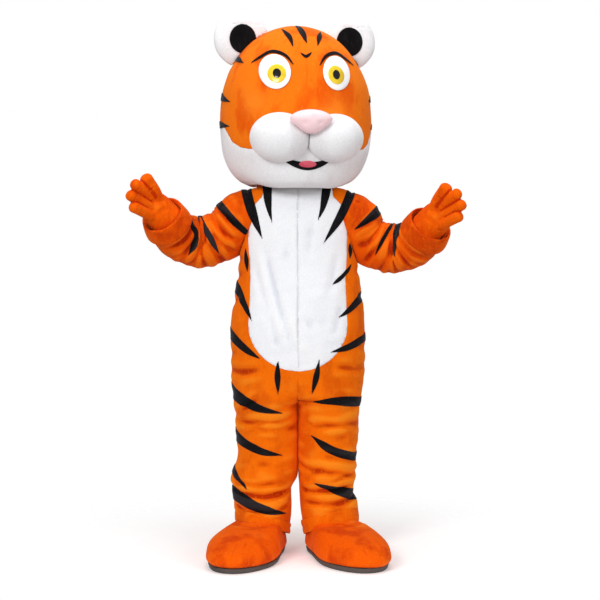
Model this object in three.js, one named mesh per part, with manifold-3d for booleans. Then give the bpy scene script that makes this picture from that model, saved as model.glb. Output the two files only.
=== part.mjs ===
// A tiger mascot costume as it is worn: a hard plush-covered head, a one-piece suit, two mitts and two
// padded boots, hollow and with nobody inside. Sizes are in millimetres, +Z is up and the front faces -Y.
// "right" and "left" are the wearer's own, so the right side is the one at -X.
// Heights in the tables are above the floor under the boots. The part's origin is between the wearer's
// shoulders, at SHOULDER_HEIGHT.
import * as THREE from "three";
import { mergeVertices } from "three/addons/utils/BufferGeometryUtils.js";
import Module from "manifold-3d";

const wasm = await Module();
wasm.setup();

// ---- Driving sizes ----
const SHOULDER_HEIGHT = 1290;
const SEAM = 0.3; // clear gap between pieces that are sewn together
const CLOTH = 3; // plush with its backing
const PADDED = 5; // plush quilted to wadding, in the mitts
const HEAD_WALL = 14; // foam shell with plush over it
const BOOT_WALL = 7;
const SIDES = { right: -1, left: 1 };
const BIG = 5000; // reaches past the whole costume

// ---- Materials ----
function finish(color, roughness = 0.9, metalness = 0) {
  return new THREE.MeshStandardMaterial({ color, roughness, metalness });
}
const orangePlush = finish(0xf0701a);
const whitePlush = finish(0xf2f2f4);
const blackPlush = finish(0x141212);
const pinkPlush = finish(0xf6c6cc, 0.7);
const tonguePlush = finish(0xd9586f, 0.8);
const eyeWhite = finish(0xfafafa, 0.4);
const amber = finish(0xe8c81e, 0.35);
const soleRubber = finish(0x4c4542, 0.85);

// ---- Solids ----
const costume = new THREE.Group();
costume.position.z = -SHOULDER_HEIGHT;

function solidOf(geometry) {
  const bare = geometry.index ? geometry.toNonIndexed() : geometry.clone();
  bare.deleteAttribute("normal");
  bare.deleteAttribute("uv");
  const merged = mergeVertices(bare, 1e-3);
  return new wasm.Manifold(
    new wasm.Mesh({
      numProp: 3,
      vertProperties: merged.attributes.position.array,
      triVerts: new Uint32Array(merged.index.array),
    }),
  );
}

function geometryOf(solid) {
  const made = solid.getMesh();
  const position = new Float32Array(made.numVert * 3);
  for (let i = 0; i < made.numVert; i++) {
    const start = i * made.numProp;
    position.set(made.vertProperties.subarray(start, start + 3), i * 3);
  }
  return new THREE.BufferGeometry()
    .setAttribute("position", new THREE.BufferAttribute(position, 3))
    .setIndex(new THREE.BufferAttribute(made.triVerts, 1));
}

function add(name, solid, material, group = costume) {
  const geometry = geometryOf(solid);
  geometry.computeVertexNormals();
  const mesh = new THREE.Mesh(geometry, material);
  mesh.name = name;
  group.add(mesh);
  return mesh;
}

// A closed solid through rings that all have the same number of points, given from the bottom up and
// anticlockwise from above.
function loft(rings) {
  const count = rings[0].length;
  const points = rings.flat();
  const index = [];
  for (let r = 0; r + 1 < rings.length; r++)
    for (let i = 0; i < count; i++) {
      const next = (i + 1) % count;
      const [a, b] = [r * count + i, r * count + next];
      index.push(a, b, b + count, a, b + count, a + count);
    }
  const top = (rings.length - 1) * count;
  for (let i = 1; i + 1 < count; i++) {
    index.push(0, i + 1, i);
    index.push(top, top + i, top + i + 1);
  }
  const geometry = new THREE.BufferGeometry().setFromPoints(points);
  geometry.setIndex(index);
  return solidOf(geometry);
}

function box(low, high) {
  const size = new THREE.Vector3().subVectors(high, low);
  const geometry = new THREE.BoxGeometry(size.x, size.y, size.z);
  const centre = new THREE.Vector3().addVectors(low, high).multiplyScalar(0.5);
  return solidOf(geometry.translate(centre.x, centre.y, centre.z));
}

// All space on one side of a plane through origin, on the side that normal points to.
function halfSpace(origin, normal) {
  const geometry = new THREE.BoxGeometry(BIG, BIG, BIG).translate(0, 0, BIG / 2);
  const turn = new THREE.Quaternion().setFromUnitVectors(
    new THREE.Vector3(0, 0, 1),
    normal.clone().normalize(),
  );
  geometry.applyQuaternion(turn).translate(origin.x, origin.y, origin.z);
  return solidOf(geometry);
}

// A shape drawn in the front view (x across, y up) as a prism from the given depth towards the front.
function frontPrism(shape, depth, from = 0, segments = 8) {
  const geometry = new THREE.ExtrudeGeometry(shape, {
    depth,
    bevelEnabled: false,
    curveSegments: segments,
  });
  return solidOf(geometry.rotateX(Math.PI / 2).translate(0, from, 0));
}

// A horizontal section: an oval with its own reach to the front and to the back.
const RING_POINTS = 16;
function oval({ z, x = 0, y = 0, wide, front, back }, grow = 0, points = RING_POINTS) {
  return Array.from({ length: points }, (_, i) => {
    const angle = (2 * Math.PI * i) / points;
    const deep = Math.sin(angle) < 0 ? front : back;
    return new THREE.Vector3(
      x + (wide + grow) * Math.cos(angle),
      y + (deep + grow) * Math.sin(angle),
      z,
    );
  });
}

// ---- The suit ----
// One half of the suit is an oval tube from hem to neck. "out" and "in" are how far it reaches from the
// centre plane, away from it and towards it. A negative "in" lies past that plane, where the half is
// cut off and meets the other half at the centre seam, so the tube closes round the leg at the crotch.
const HALF_ROWS = [
  { z: 55, right: [216, 34], left: [216, 26], front: 106, back: 98 },
  { z: 165, right: [221, 22], left: [207, 7], front: 106, back: 98 },
  { z: 222, right: [227, 24], left: [193, 4], front: 103, back: 98 },
  { z: 272, right: [233, 3], left: [201, 3], front: 112, back: 100 },
  { z: 340, right: [212, 0.7], left: [205, 0.7], front: 112, back: 104 },
  { z: 430, right: [216, 0.7], left: [212, 0.7], front: 120, back: 114 },
  { z: 524, right: [224, 0.7], left: [216, 0.7], front: 134, back: 136 },
  { z: 556, right: [228, -92], left: [223, -92], front: 141, back: 140 },
  { z: 590, right: [231, -180], left: [228, -180], front: 147, back: 142 },
  { z: 632, right: [234, -232], left: [232, -232], front: 153, back: 141 },
  { z: 790, right: [235, -235], left: [235, -235], front: 166, back: 129 },
  { z: 920, right: [216, -216], left: [220, -220], front: 158, back: 120 },
  { z: 1020, right: [206, -206], left: [208, -208], front: 145, back: 118 },
  { z: 1190, right: [214, -214], left: [214, -214], front: 124, back: 108 },
  { z: 1232, right: [208, -208], left: [206, -206], front: 112, back: 100 },
  { z: 1256, right: [197, -197], left: [193, -193], front: 105, back: 96 },
  { z: 1270, right: [177, -177], left: [172, -172], front: 100, back: 92 },
  { z: 1278, right: [150, -150], left: [146, -146], front: 97, back: 90 },
  { z: 1282, right: [122, -122], left: [120, -120], front: 94, back: 88 },
  { z: 1325, right: [96, -96], left: [96, -96], front: 88, back: 82 },
];
const OPEN_END = 30; // how far an inner form runs past an open end
const LEG_CENTRE = 125; // from the centre plane
const HEM_HEIGHT = 90; // at the middle of the leg
const HEM_SLOPE = 0.24; // the hem is higher over the instep and on the outside

function halfRing(row, side, grow, z = row.z) {
  const [out, inward] = row[side];
  const sign = SIDES[side];
  const x = (sign * (out + inward)) / 2;
  return oval({ z, x, wide: (out - inward) / 2, front: row.front, back: row.back }, grow);
}

function halfForm(side, grow, openEnds) {
  const rings = HALF_ROWS.map((row) => halfRing(row, side, grow));
  if (openEnds) {
    const [first, last] = [HALF_ROWS[0], HALF_ROWS.at(-1)];
    rings.unshift(halfRing(first, side, grow, first.z - OPEN_END));
    rings.push(halfRing(last, side, grow, last.z + OPEN_END));
  }
  return loft(rings);
}

// The belly panel's outline in the front view: widest at the hips, narrower at the neck.
const BELLY = { bottom: 648, low: 800, high: 1110, top: 1400, wide: 170, neck: 132 };
function bellyShape(grow) {
  const { bottom, low, high, top } = BELLY;
  const [wide, neck] = [BELLY.wide + grow, BELLY.neck + grow];
  const shape = new THREE.Shape();
  shape.moveTo(0, bottom - grow);
  shape.bezierCurveTo(wide * 0.62, bottom - grow, wide, bottom + 62, wide, low);
  shape.lineTo(wide - 6, (low + high) / 2);
  shape.lineTo(wide, high);
  shape.bezierCurveTo(wide, high + 70, neck + 10, high + 110, neck, high + 170);
  shape.lineTo(neck, top);
  shape.lineTo(-neck, top);
  shape.lineTo(-neck, high + 170);
  shape.bezierCurveTo(-neck - 10, high + 110, -wide, high + 70, -wide, high);
  shape.lineTo(6 - wide, (low + high) / 2);
  shape.lineTo(-wide, low);
  shape.bezierCurveTo(-wide, bottom + 62, -wide * 0.62, bottom - grow, 0, bottom - grow);
  return shape;
}

// ---- The sleeves ----
// Each arm's line, measured outwards from the centre plane, with the sleeve's reach across the bend (high)
// and along the bend's axis (deep).
const SLEEVE_ROWS = {
  right: [
    { x: 110, y: 4, z: 1186, high: 84, deep: 82 },
    { x: 184, y: 8, z: 1166, high: 112, deep: 95 },
    { x: 262, y: 13, z: 1114, high: 90, deep: 91 },
    { x: 345, y: 8, z: 1088, high: 88, deep: 88 },
    { x: 402, y: -28, z: 1102, high: 83, deep: 84 },
    { x: 437, y: -76, z: 1134, high: 76, deep: 76 },
    { x: 460, y: -118, z: 1174, high: 69, deep: 70 },
  ],
  left: [
    { x: 110, y: 4, z: 1184, high: 84, deep: 82 },
    { x: 184, y: 8, z: 1156, high: 110, deep: 95 },
    { x: 252, y: 11, z: 1090, high: 85, deep: 89 },
    { x: 340, y: 6, z: 1066, high: 85, deep: 86 },
    { x: 394, y: -28, z: 1077, high: 80, deep: 82 },
    { x: 427, y: -72, z: 1106, high: 75, deep: 76 },
    { x: 449, y: -110, z: 1143, high: 68, deep: 70 },
  ],
};
const BEND_AXIS = new THREE.Vector3(0.36, 0.71, 0.61); // on the left side
const SLEEVE_POINTS = 12;
const ARMHOLE = 186; // from the centre plane
const CUFF_LONG = 48;
const CUFF_THICK = 9;

function armFrames(side) {
  const rows = SLEEVE_ROWS[side];
  const sign = SIDES[side];
  const centres = rows.map(({ x, y, z }) => new THREE.Vector3(sign * x, y, z));
  const axis = BEND_AXIS.clone();
  axis.x *= sign;
  return rows.map((row, i) => {
    const before = centres[Math.max(i - 1, 0)];
    const after = centres[Math.min(i + 1, centres.length - 1)];
    const along = after.clone().sub(before).normalize();
    const deepWay = axis.clone().addScaledVector(along, -axis.dot(along)).normalize();
    const highWay = new THREE.Vector3().crossVectors(along, deepWay).multiplyScalar(sign);
    return { ...row, centre: centres[i], along, deepWay, highWay, sign };
  });
}

// A section of the arm between two angles: 0 is across the bend, a quarter turn is along BEND_AXIS.
function armArc(frame, grow, from, to, points) {
  return Array.from({ length: points }, (_, i) => {
    const angle = from + ((to - from) * i) / (points - 1);
    return frame.centre
      .clone()
      .addScaledVector(frame.highWay, (frame.high + grow) * Math.cos(angle))
      .addScaledVector(frame.deepWay, (frame.deep + grow) * Math.sin(angle));
  });
}

function armForm(frames, grow, runPast = 0) {
  const step = (2 * Math.PI) / SLEEVE_POINTS;
  const rings = frames.map((f) => armArc(f, grow, 0, 2 * Math.PI - step, SLEEVE_POINTS));
  if (runPast) {
    const last = frames.at(-1);
    rings.push(rings.at(-1).map((p) => p.clone().addScaledVector(last.along, runPast)));
  }
  const form = loft(rings);
  return form.volume() > 0 ? form : loft(rings.map((ring) => ring.toReversed()));
}

// The upper half of the arm's form, as far as the plane that the bend lies in.
function armTop(frames, grow) {
  const rings = frames.map((f) => armArc(f, grow, 0, Math.PI, SLEEVE_POINTS / 2 + 1));
  const last = frames.at(-1);
  rings.push(rings.at(-1).map((p) => p.clone().addScaledVector(last.along, OPEN_END)));
  const form = loft(rings);
  return form.volume() > 0 ? form : loft(rings.map((ring) => ring.toReversed()));
}

const PLACKET = { wide: 34, bottom: 800, top: 1310 }; // over the zip in the centre back seam
const HEM_LONG = { right: 34, left: 48 };
const HEM_THICK = 6;
const STRIPE_THICK = 2;

function buildSuit() {
  const frames = Object.fromEntries(Object.keys(SIDES).map((s) => [s, armFrames(s)]));
  const inBelly = frontPrism(bellyShape(0), BIG, 0, 6);
  const roundBelly = frontPrism(bellyShape(SEAM), BIG, 0, 6);
  const front = halfSpace(new THREE.Vector3(0, -SEAM / 2, 0), new THREE.Vector3(0, -1, 0));
  const behind = halfSpace(new THREE.Vector3(0, SEAM / 2, 0), new THREE.Vector3(0, 1, 0));
  const aboveHem = (sign) =>
    halfSpace(
      new THREE.Vector3(sign * LEG_CENTRE, 0, HEM_HEIGHT),
      new THREE.Vector3(-sign * HEM_SLOPE, HEM_SLOPE, 1),
    );
  for (const [side, sign] of Object.entries(SIDES)) {
    const mySide = halfSpace(
      new THREE.Vector3((sign * SEAM) / 2, 0, 0),
      new THREE.Vector3(sign, 0, 0),
    );
    const form = halfForm(side, 0, false).intersect(mySide);
    const arm = frames[side];
    const outward = new THREE.Vector3(sign, 0, 0);
    const armhole = halfSpace(outward.clone().multiplyScalar(ARMHOLE), outward);
    const shell = form
      .subtract(halfForm(side, -CLOTH, true))
      .intersect(aboveHem(sign))
      .subtract(placedBoot(bootForm(2), side))
      .subtract(armForm(arm, -CLOTH, OPEN_END).intersect(armhole));
    add(`suit_front_${side}`, shell.intersect(front).subtract(roundBelly), orangePlush);
    add(`suit_back_${side}`, shell.intersect(behind), orangePlush);
    add(`belly_${side}`, shell.intersect(front).intersect(inBelly), whitePlush);
    const sleeve = armForm(arm, 0)
      .subtract(armForm(arm, -CLOTH, OPEN_END))
      .subtract(halfForm(side, SEAM, false));
    const topHalf = armTop(arm, CUFF_THICK);
    const seamGap = arm[3].deepWay.clone().multiplyScalar(-2 * SEAM).toArray();
    add(`sleeve_top_${side}`, sleeve.intersect(topHalf), orangePlush);
    add(`sleeve_under_${side}`, sleeve.subtract(topHalf.translate(seamGap)), orangePlush);
    add(`cuff_${side}`, cuff(arm), orangePlush);
    add(`hem_${side}`, hem(side, aboveHem(sign)), orangePlush);
    for (const [name, stripe] of Object.entries(STRIPES)) addStripe(name, side, mySide, stripe);
  }
  const strip = box(
    new THREE.Vector3(-PLACKET.wide / 2, 60, PLACKET.bottom),
    new THREE.Vector3(PLACKET.wide / 2, BIG, PLACKET.top),
  );
  const nape = (grow) => halfForm("left", grow, false);
  add("back_placket", nape(SEAM + CLOTH).subtract(nape(SEAM)).intersect(strip), orangePlush);
}

// The leg's end turned up on the outside: a band that stands off the leg.
function hem(side, above) {
  return halfForm(side, SEAM + HEM_THICK, false)
    .subtract(halfForm(side, SEAM, false))
    .intersect(above)
    .subtract(above.translate([0, 0, HEM_LONG[side]]))
    .subtract(placedBoot(bootForm(2), side));
}

// A tapered stripe in the front view, through places given from its broad end to its point. Widths are
// the stripe's own at the first two places, and it ends in the point.
function stripeShape(places, wide) {
  const [start, bend, tip] = places.map(([x, z]) => new THREE.Vector2(x, z));
  const across = tip.clone().sub(start).normalize().rotateAround(new THREE.Vector2(), Math.PI / 2);
  const shape = new THREE.Shape();
  const edge = (place, half) => place.clone().addScaledVector(across, half);
  const [a, b] = [edge(start, wide / 2), edge(start, -wide / 2)];
  const [c, d] = [edge(bend, wide * 0.55), edge(bend, -wide * 0.45)];
  shape.moveTo(a.x, a.y);
  shape.quadraticCurveTo(c.x, c.y, tip.x, tip.y);
  shape.quadraticCurveTo(d.x, d.y, b.x, b.y);
  return shape;
}

// The longest stripes of the suit, outwards from the centre plane, sewn on over the panels' seams.
const STRIPES = {
  chest_inner: { wide: 27, right: [[104, 1290], [100, 1225], [88, 1152]], left: [[102, 1290], [86, 1225], [68, 1160]] },
  chest_outer: { wide: 36, right: [[176, 1285], [158, 1180], [120, 1098]], left: [[186, 1280], [150, 1180], [86, 1082]] },
};

function addStripe(name, side, mySide, { wide, ...places }) {
  const sign = SIDES[side];
  const shape = stripeShape(places[side].map(([x, z]) => [sign * x, z]), wide);
  const layer = halfForm(side, SEAM + STRIPE_THICK, false).subtract(halfForm(side, SEAM, false));
  const clear = armForm(armFrames(side), SEAM);
  const patch = layer.intersect(mySide).intersect(frontPrism(shape, BIG, 0, 4)).subtract(clear);
  add(`stripe_${name}_${side}`, patch, blackPlush);
}

// The sleeve's end turned back on itself: a thick band round the last of the sleeve.
function cuff(frames) {
  const last = frames.at(-1);
  const stations = [-CUFF_LONG, -CUFF_LONG / 2, 4].map((along) => ({
    ...last,
    centre: last.centre.clone().addScaledVector(last.along, along),
  }));
  const grown = (grow) => {
    const flare = [4, 3, 0];
    return armForm(
      stations.map((f, i) => ({ ...f, high: f.high + flare[i], deep: f.deep + flare[i] })),
      grow,
    );
  };
  return grown(CUFF_THICK).subtract(armForm(stretched(stations), SEAM));
}

function stretched(stations) {
  const flare = [9, 5, 0];
  const moved = [-OPEN_END, 0, OPEN_END];
  return stations.map((f, i) => ({
    ...f,
    high: f.high + flare[i],
    deep: f.deep + flare[i],
    centre: f.centre.clone().addScaledVector(f.along, moved[i]),
  }));
}


// ---- The head ----
// A foam shell covered with plush, open underneath where it goes over the wearer's head.
const HEAD_ROWS = [
  { z: 1284, wide: 164, front: 172, back: 150 },
  { z: 1300, wide: 196, front: 206, back: 178 },
  { z: 1345, wide: 234, front: 232, back: 206 },
  { z: 1415, wide: 258, front: 246, back: 228 },
  { z: 1500, wide: 266, front: 246, back: 242 },
  { z: 1585, wide: 260, front: 238, back: 244 },
  { z: 1665, wide: 238, front: 220, back: 230 },
  { z: 1735, wide: 198, front: 186, back: 196 },
  { z: 1790, wide: 142, front: 136, back: 144 },
  { z: 1823, wide: 80, front: 78, back: 82 },
  { z: 1836, wide: 26, front: 26, back: 26 },
];
const HEAD_TURN = 10; // degrees, towards the wearer's left
const HEAD_X = -8;
const HEAD_POINTS = 20;

function headForm(grow, opened = false) {
  const rings = HEAD_ROWS.map((row, i) => {
    const capped = i === HEAD_ROWS.length - 1;
    const z = row.z + (capped ? grow : grow * Math.max(0, (row.z - 1600) / 260));
    return oval({ ...row, z }, capped ? 0 : grow, HEAD_POINTS);
  });
  if (opened) rings.unshift(oval({ ...HEAD_ROWS[0], z: HEAD_ROWS[0].z - OPEN_END }, grow, HEAD_POINTS));
  return loft(rings);
}

function ellipsoid([x, y, z], [rx, ry, rz], turn = 0, across = 18, around = 12) {
  const geometry = new THREE.SphereGeometry(1, across, around)
    .scale(rx, ry, rz)
    .rotateY(THREE.MathUtils.degToRad(turn))
    .translate(x, y, z);
  return solidOf(geometry);
}

function ellipse(x, z, rx, rz, turn = 0) {
  return new THREE.Shape().absellipse(x, z, rx, rz, 0, 2 * Math.PI, false, turn);
}

// A thin patch on the front of the head: drawn in the front view, laid on at the given height off it.
function headPatch(shape, low, high, segments = 10) {
  return frontPrism(shape, BIG, 0, segments).intersect(headForm(high)).subtract(headForm(low));
}

function addHead(name, solid, material) {
  add(name, solid.rotate([0, 0, HEAD_TURN]).translate([HEAD_X, 0, 0]), material);
}

const EYE = { x: 104, z: 1652, wide: 50, high: 61 };
const MUZZLE = { x: 86, y: -216, z: 1432, wide: 106, deep: 92, high: 84 };
const EAR = { x: 190, y: 10, z: 1790, wide: 96, deep: 38, high: 98 };

function buildHead() {
  const jawLine = new THREE.Shape();
  jawLine.moveTo(-BIG / 2, 1200);
  jawLine.lineTo(BIG / 2, 1200);
  jawLine.lineTo(BIG / 2, 1500);
  jawLine.lineTo(268, 1500);
  jawLine.bezierCurveTo(235, 1360, 190, 1392, 120, 1400);
  jawLine.lineTo(-120, 1400);
  jawLine.bezierCurveTo(-190, 1392, -235, 1360, -268, 1500);
  jawLine.lineTo(-BIG / 2, 1500);
  const jawZone = frontPrism(jawLine, BIG, 96, 5);
  const shell = headForm(0).subtract(headForm(-HEAD_WALL, true));
  const jaw = shell.intersect(jawZone);
  const rest = shell.subtract(frontPrism(grownDown(jawLine, SEAM), BIG, 96 + SEAM, 5));
  const face = halfSpace(new THREE.Vector3(0, 30 - SEAM / 2, 0), new THREE.Vector3(0, -1, 0));
  const nape = halfSpace(new THREE.Vector3(0, 30 + SEAM / 2, 0), new THREE.Vector3(0, 1, 0));
  addHead("head_jaw", jaw, whitePlush);
  addHead("head_face", rest.intersect(face), orangePlush);
  addHead("head_back", rest.intersect(nape), orangePlush);

  const round = (grow) => headForm(grow);
  const { x, y, z, wide, deep, high } = MUZZLE;
  const lobe = (sign, grow) =>
    ellipsoid([sign * x, y, z], [wide + grow, deep + grow, high + grow], 0, 14, 8);
  const noseForm = (grow) => ellipsoid([0, -300, 1480], [74 + grow, 36 + grow, 43 + grow], 0, 12, 7);
  for (const [side, sign] of Object.entries(SIDES)) {
    const mine = halfSpace(
      new THREE.Vector3((sign * SEAM) / 2, 0, 0),
      new THREE.Vector3(sign, 0, 0),
    );
    const muzzle = lobe(sign, 0).intersect(mine).subtract(round(SEAM)).subtract(noseForm(SEAM));
    addHead(`muzzle_${side}`, muzzle, whitePlush);
    const { x: ex, z: ez, wide: ew, high: eh } = EYE;
    const lean = sign * -0.1;
    addHead(`eye_${side}`, headPatch(ellipse(sign * ex, ez, ew, eh, lean), SEAM, 4, 7), eyeWhite);
    addHead(`iris_${side}`, headPatch(ellipse(sign * (ex - 6), ez - 8, 29, 33), 4.3, 6.5, 5), amber);
    addHead(`pupil_${side}`, headPatch(ellipse(sign * (ex - 7), ez - 8, 13, 17), 6.8, 8.5, 4), blackPlush);
    const e = EAR;
    const ear = (grow) =>
      ellipsoid([sign * e.x, e.y, e.z], [e.wide + grow, e.deep + grow, e.high + grow], sign * 12, 16, 8);
    addHead(`ear_${side}`, ear(0).subtract(round(SEAM)), whitePlush);
    const inner = frontPrism(ellipse(sign * (e.x - 2), e.z - 2, 46, 50, sign * -0.3), BIG, -8, 4);
    const patch = ear(3.5).subtract(ear(SEAM)).intersect(inner).subtract(round(SEAM));
    addHead(`ear_inner_${side}`, patch, blackPlush);
  }
  addHead("nose", noseForm(0).subtract(round(SEAM)), pinkPlush);

  // A smile under the muzzle with the tongue on it.
  const smile = new THREE.Shape();
  smile.moveTo(-104, 1392);
  smile.quadraticCurveTo(0, 1268, 104, 1392);
  smile.quadraticCurveTo(0, 1330, -104, 1392);
  const away = lobe(1, SEAM).add(lobe(-1, SEAM));
  addHead("mouth", headPatch(smile, SEAM, 3.5, 5).subtract(away), blackPlush);
  const tongue = headPatch(ellipse(0, 1345, 30, 11), 3.8, 9, 5);
  addHead("tongue", tongue.subtract(away), tonguePlush);
}

function grownDown(shape, gap) {
  const points = shape.getPoints(5).map((p) => new THREE.Vector2(p.x, p.y + gap));
  return new THREE.Shape(points);
}

// ---- The mitts ----
// Measured from the middle of the sleeve's end, outwards (x), to the back (y) and up (z). "up" is the way
// the mitt points, and its palm faces the front.
const MITT_UP = new THREE.Vector3(0.62, -0.42, 0.66).normalize();
const PALM_POINTS = 10;
const DIGIT_POINTS = 7;
const PALM_ROWS = [
  { along: -62, wide: 46, deep: 40 },
  { along: 0, wide: 48, deep: 41 },
  { along: 30, wide: 56, deep: 42 },
  { along: 58, wide: 59, deep: 40 },
  { along: 80, wide: 52, deep: 33 },
  { along: 92, wide: 34, deep: 20 },
];
const DIGITS = {
  thumb: { from: [6, -28, 52], to: [40, -78, 112], low: 25, high: 22 },
  first: { from: [36, -44, 58], to: [75, -98, 97], low: 20, high: 18.5 },
  middle: { from: [48, -58, 38], to: [96, -104, 54], low: 20, high: 18.5 },
  last: { from: [46, -52, 10], to: [80, -98, 10], low: 20, high: 18.5 },
};

function capsule({ from, to, low, high }, grow) {
  const points = grow < 0 ? DIGIT_POINTS - 2 : DIGIT_POINTS;
  const start = new THREE.Vector3(...from);
  const way = new THREE.Vector3(...to).sub(start);
  const long = way.length();
  const rows = [
    [-0.4 * low, 0.8 * low],
    [long * 0.4, (low + high) / 2],
    [long + high * 0.2, high * 0.92],
    [long + high * 0.76, high * 0.5],
  ];
  const turn = new THREE.Quaternion().setFromUnitVectors(
    new THREE.Vector3(0, 0, 1),
    way.clone().normalize(),
  );
  const rings = rows.map(([along, radius], i) => {
    const lift = i === rows.length - 1 ? grow : 0;
    const wide = Math.max(radius + grow, 2);
    const ring = oval({ z: along + lift, wide, front: wide, back: wide }, 0, points);
    return ring.map((p) => p.applyQuaternion(turn).add(start));
  });
  return loft(rings);
}

function mittForm(grow, runPast = 0) {
  const across = new THREE.Vector3(-0.62, 0.06, 0.78);
  const wideWay = across.addScaledVector(MITT_UP, -across.dot(MITT_UP)).normalize();
  const deepWay = new THREE.Vector3().crossVectors(MITT_UP, wideWay);
  const rows = runPast ? [{ ...PALM_ROWS[0], along: PALM_ROWS[0].along - runPast }] : [];
  const rings = [...rows, ...PALM_ROWS].map(({ along, wide, deep }) =>
    Array.from({ length: PALM_POINTS }, (_, i) => {
      const angle = (2 * Math.PI * i) / PALM_POINTS;
      return MITT_UP.clone()
        .multiplyScalar(along)
        .addScaledVector(wideWay, (wide + grow) * Math.cos(angle))
        .addScaledVector(deepWay, (deep + grow) * Math.sin(angle));
    }),
  );
  const palm = loft(rings);
  const body = palm.volume() > 0 ? palm : loft(rings.map((ring) => ring.toReversed()));
  return Object.values(DIGITS).reduce((all, digit) => all.add(capsule(digit, grow)), body);
}

function buildMitts() {
  const shell = mittForm(0).subtract(mittForm(-PADDED, OPEN_END));
  const palmWay = new THREE.Vector3(-0.33, -0.92, -0.19).normalize();
  const middle = (shift) => palmWay.clone().multiplyScalar(12 + shift);
  const palm = shell.intersect(halfSpace(middle(SEAM / 2), palmWay));
  const back = shell.intersect(halfSpace(middle(-SEAM / 2), palmWay.clone().negate()));
  for (const [side, sign] of Object.entries(SIDES)) {
    const { x, y, z } = SLEEVE_ROWS[side].at(-1);
    const place = (solid) =>
      (sign < 0 ? solid.mirror([1, 0, 0]) : solid).translate([sign * (x + 6), y - 6, z + 8]);
    add(`mitt_palm_${side}`, place(palm), orangePlush);
    add(`mitt_back_${side}`, place(back), orangePlush);
  }
}

// ---- The boots ----
// Plan outlines from the sole up: how far the outline reaches to the toe and to the heel, and its half
// widths there. The two boots point outwards by different angles.
const BOOT_ROWS = [
  { z: 18, toe: 336, heel: 108, toeWide: 130, heelWide: 80 },
  { z: 36, toe: 350, heel: 112, toeWide: 139, heelWide: 86 },
  { z: 62, toe: 340, heel: 110, toeWide: 135, heelWide: 84 },
  { z: 88, toe: 290, heel: 102, toeWide: 121, heelWide: 79 },
  { z: 107, toe: 205, heel: 95, toeWide: 98, heelWide: 74 },
  { z: 119, toe: 100, heel: 86, toeWide: 73, heelWide: 68 },
  { z: 138, toe: 60, heel: 70, toeWide: 60, heelWide: 60 },
  { z: 190, toe: 60, heel: 70, toeWide: 60, heelWide: 60 },
];
const BOOTS = {
  right: { x: -132, y: -22, turn: -18 },
  left: { x: 118, y: -22, turn: 23 },
};
const BOOT_POINTS = 14;

function bootRing({ toe, heel, toeWide, heelWide }, grow, z) {
  return Array.from({ length: BOOT_POINTS }, (_, i) => {
    const angle = (2 * Math.PI * i) / BOOT_POINTS;
    const [along, across] = [-Math.sin(angle), Math.cos(angle)];
    const reach = along > 0 ? toe + grow : heel + grow;
    const t = Math.sign(along) * Math.abs(along) ** 0.86;
    const part = (t * reach + heel) / (toe + heel);
    const wide = heelWide + (toeWide - heelWide) * THREE.MathUtils.smoothstep(part, 0.15, 0.75) + grow;
    return new THREE.Vector3(Math.sign(across) * Math.abs(across) ** 0.9 * wide, -t * reach, z);
  });
}

function bootForm(grow, opened = false) {
  const rows = BOOT_ROWS.map((row, i) => bootRing(row, grow, row.z - (i ? 0 : grow)));
  if (opened) rows.push(bootRing(BOOT_ROWS.at(-1), grow, BOOT_ROWS.at(-1).z + OPEN_END));
  return loft(rows);
}

function placedBoot(solid, side) {
  const { x, y, turn } = BOOTS[side];
  return solid.rotate([0, 0, turn]).translate([x, y, 0]);
}

function buildBoots() {
  const upper = bootForm(0).subtract(bootForm(-BOOT_WALL, true));
  const tread = BOOT_ROWS[0];
  const sole = loft([
    bootRing(tread, -6, 0),
    bootRing(tread, 2, 5),
    bootRing(tread, 4, tread.z - SEAM),
  ]);
  for (const side of Object.keys(SIDES)) {
    add(`boot_${side}`, placedBoot(upper, side), orangePlush);
    add(`sole_${side}`, placedBoot(sole, side), soleRubber);
  }
}

buildSuit();
buildHead();
buildMitts();
buildBoots();

export default costume;
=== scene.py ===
"""The looks of a tiger mascot costume: plush suit, hollow head, mitts and boots, built round its frame.

Tables are in millimetres above the floor, with +X to the wearer's left and the front facing -Y, and
to_row() takes them into the frame, whose origin is between the wearer's shoulders.
"""

import math

import bmesh
import bpy
import numpy as np
from mathutils import Matrix, Vector


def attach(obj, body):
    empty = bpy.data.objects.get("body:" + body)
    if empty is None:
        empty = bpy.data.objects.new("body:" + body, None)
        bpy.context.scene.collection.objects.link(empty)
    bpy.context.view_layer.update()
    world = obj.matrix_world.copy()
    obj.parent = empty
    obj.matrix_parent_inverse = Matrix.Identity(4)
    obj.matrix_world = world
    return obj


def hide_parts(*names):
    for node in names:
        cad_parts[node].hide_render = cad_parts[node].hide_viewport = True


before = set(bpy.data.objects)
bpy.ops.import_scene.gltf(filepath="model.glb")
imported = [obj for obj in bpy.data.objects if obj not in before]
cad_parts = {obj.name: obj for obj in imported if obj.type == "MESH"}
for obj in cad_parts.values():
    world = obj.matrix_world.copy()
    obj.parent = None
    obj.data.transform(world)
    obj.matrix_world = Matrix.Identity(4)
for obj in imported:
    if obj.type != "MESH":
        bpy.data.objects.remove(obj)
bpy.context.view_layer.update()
bpy.ops.object.select_all(action="DESELECT")

MM = 0.001
SHOULDER = 1290.0  # the frame's origin above the floor
SIDES = {"right": -1.0, "left": 1.0}


def to_row(points):
    moved = np.array(points, float) * MM
    moved[..., 2] -= SHOULDER * MM
    return moved


# ---------------------------------------------------------------- numbers


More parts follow.
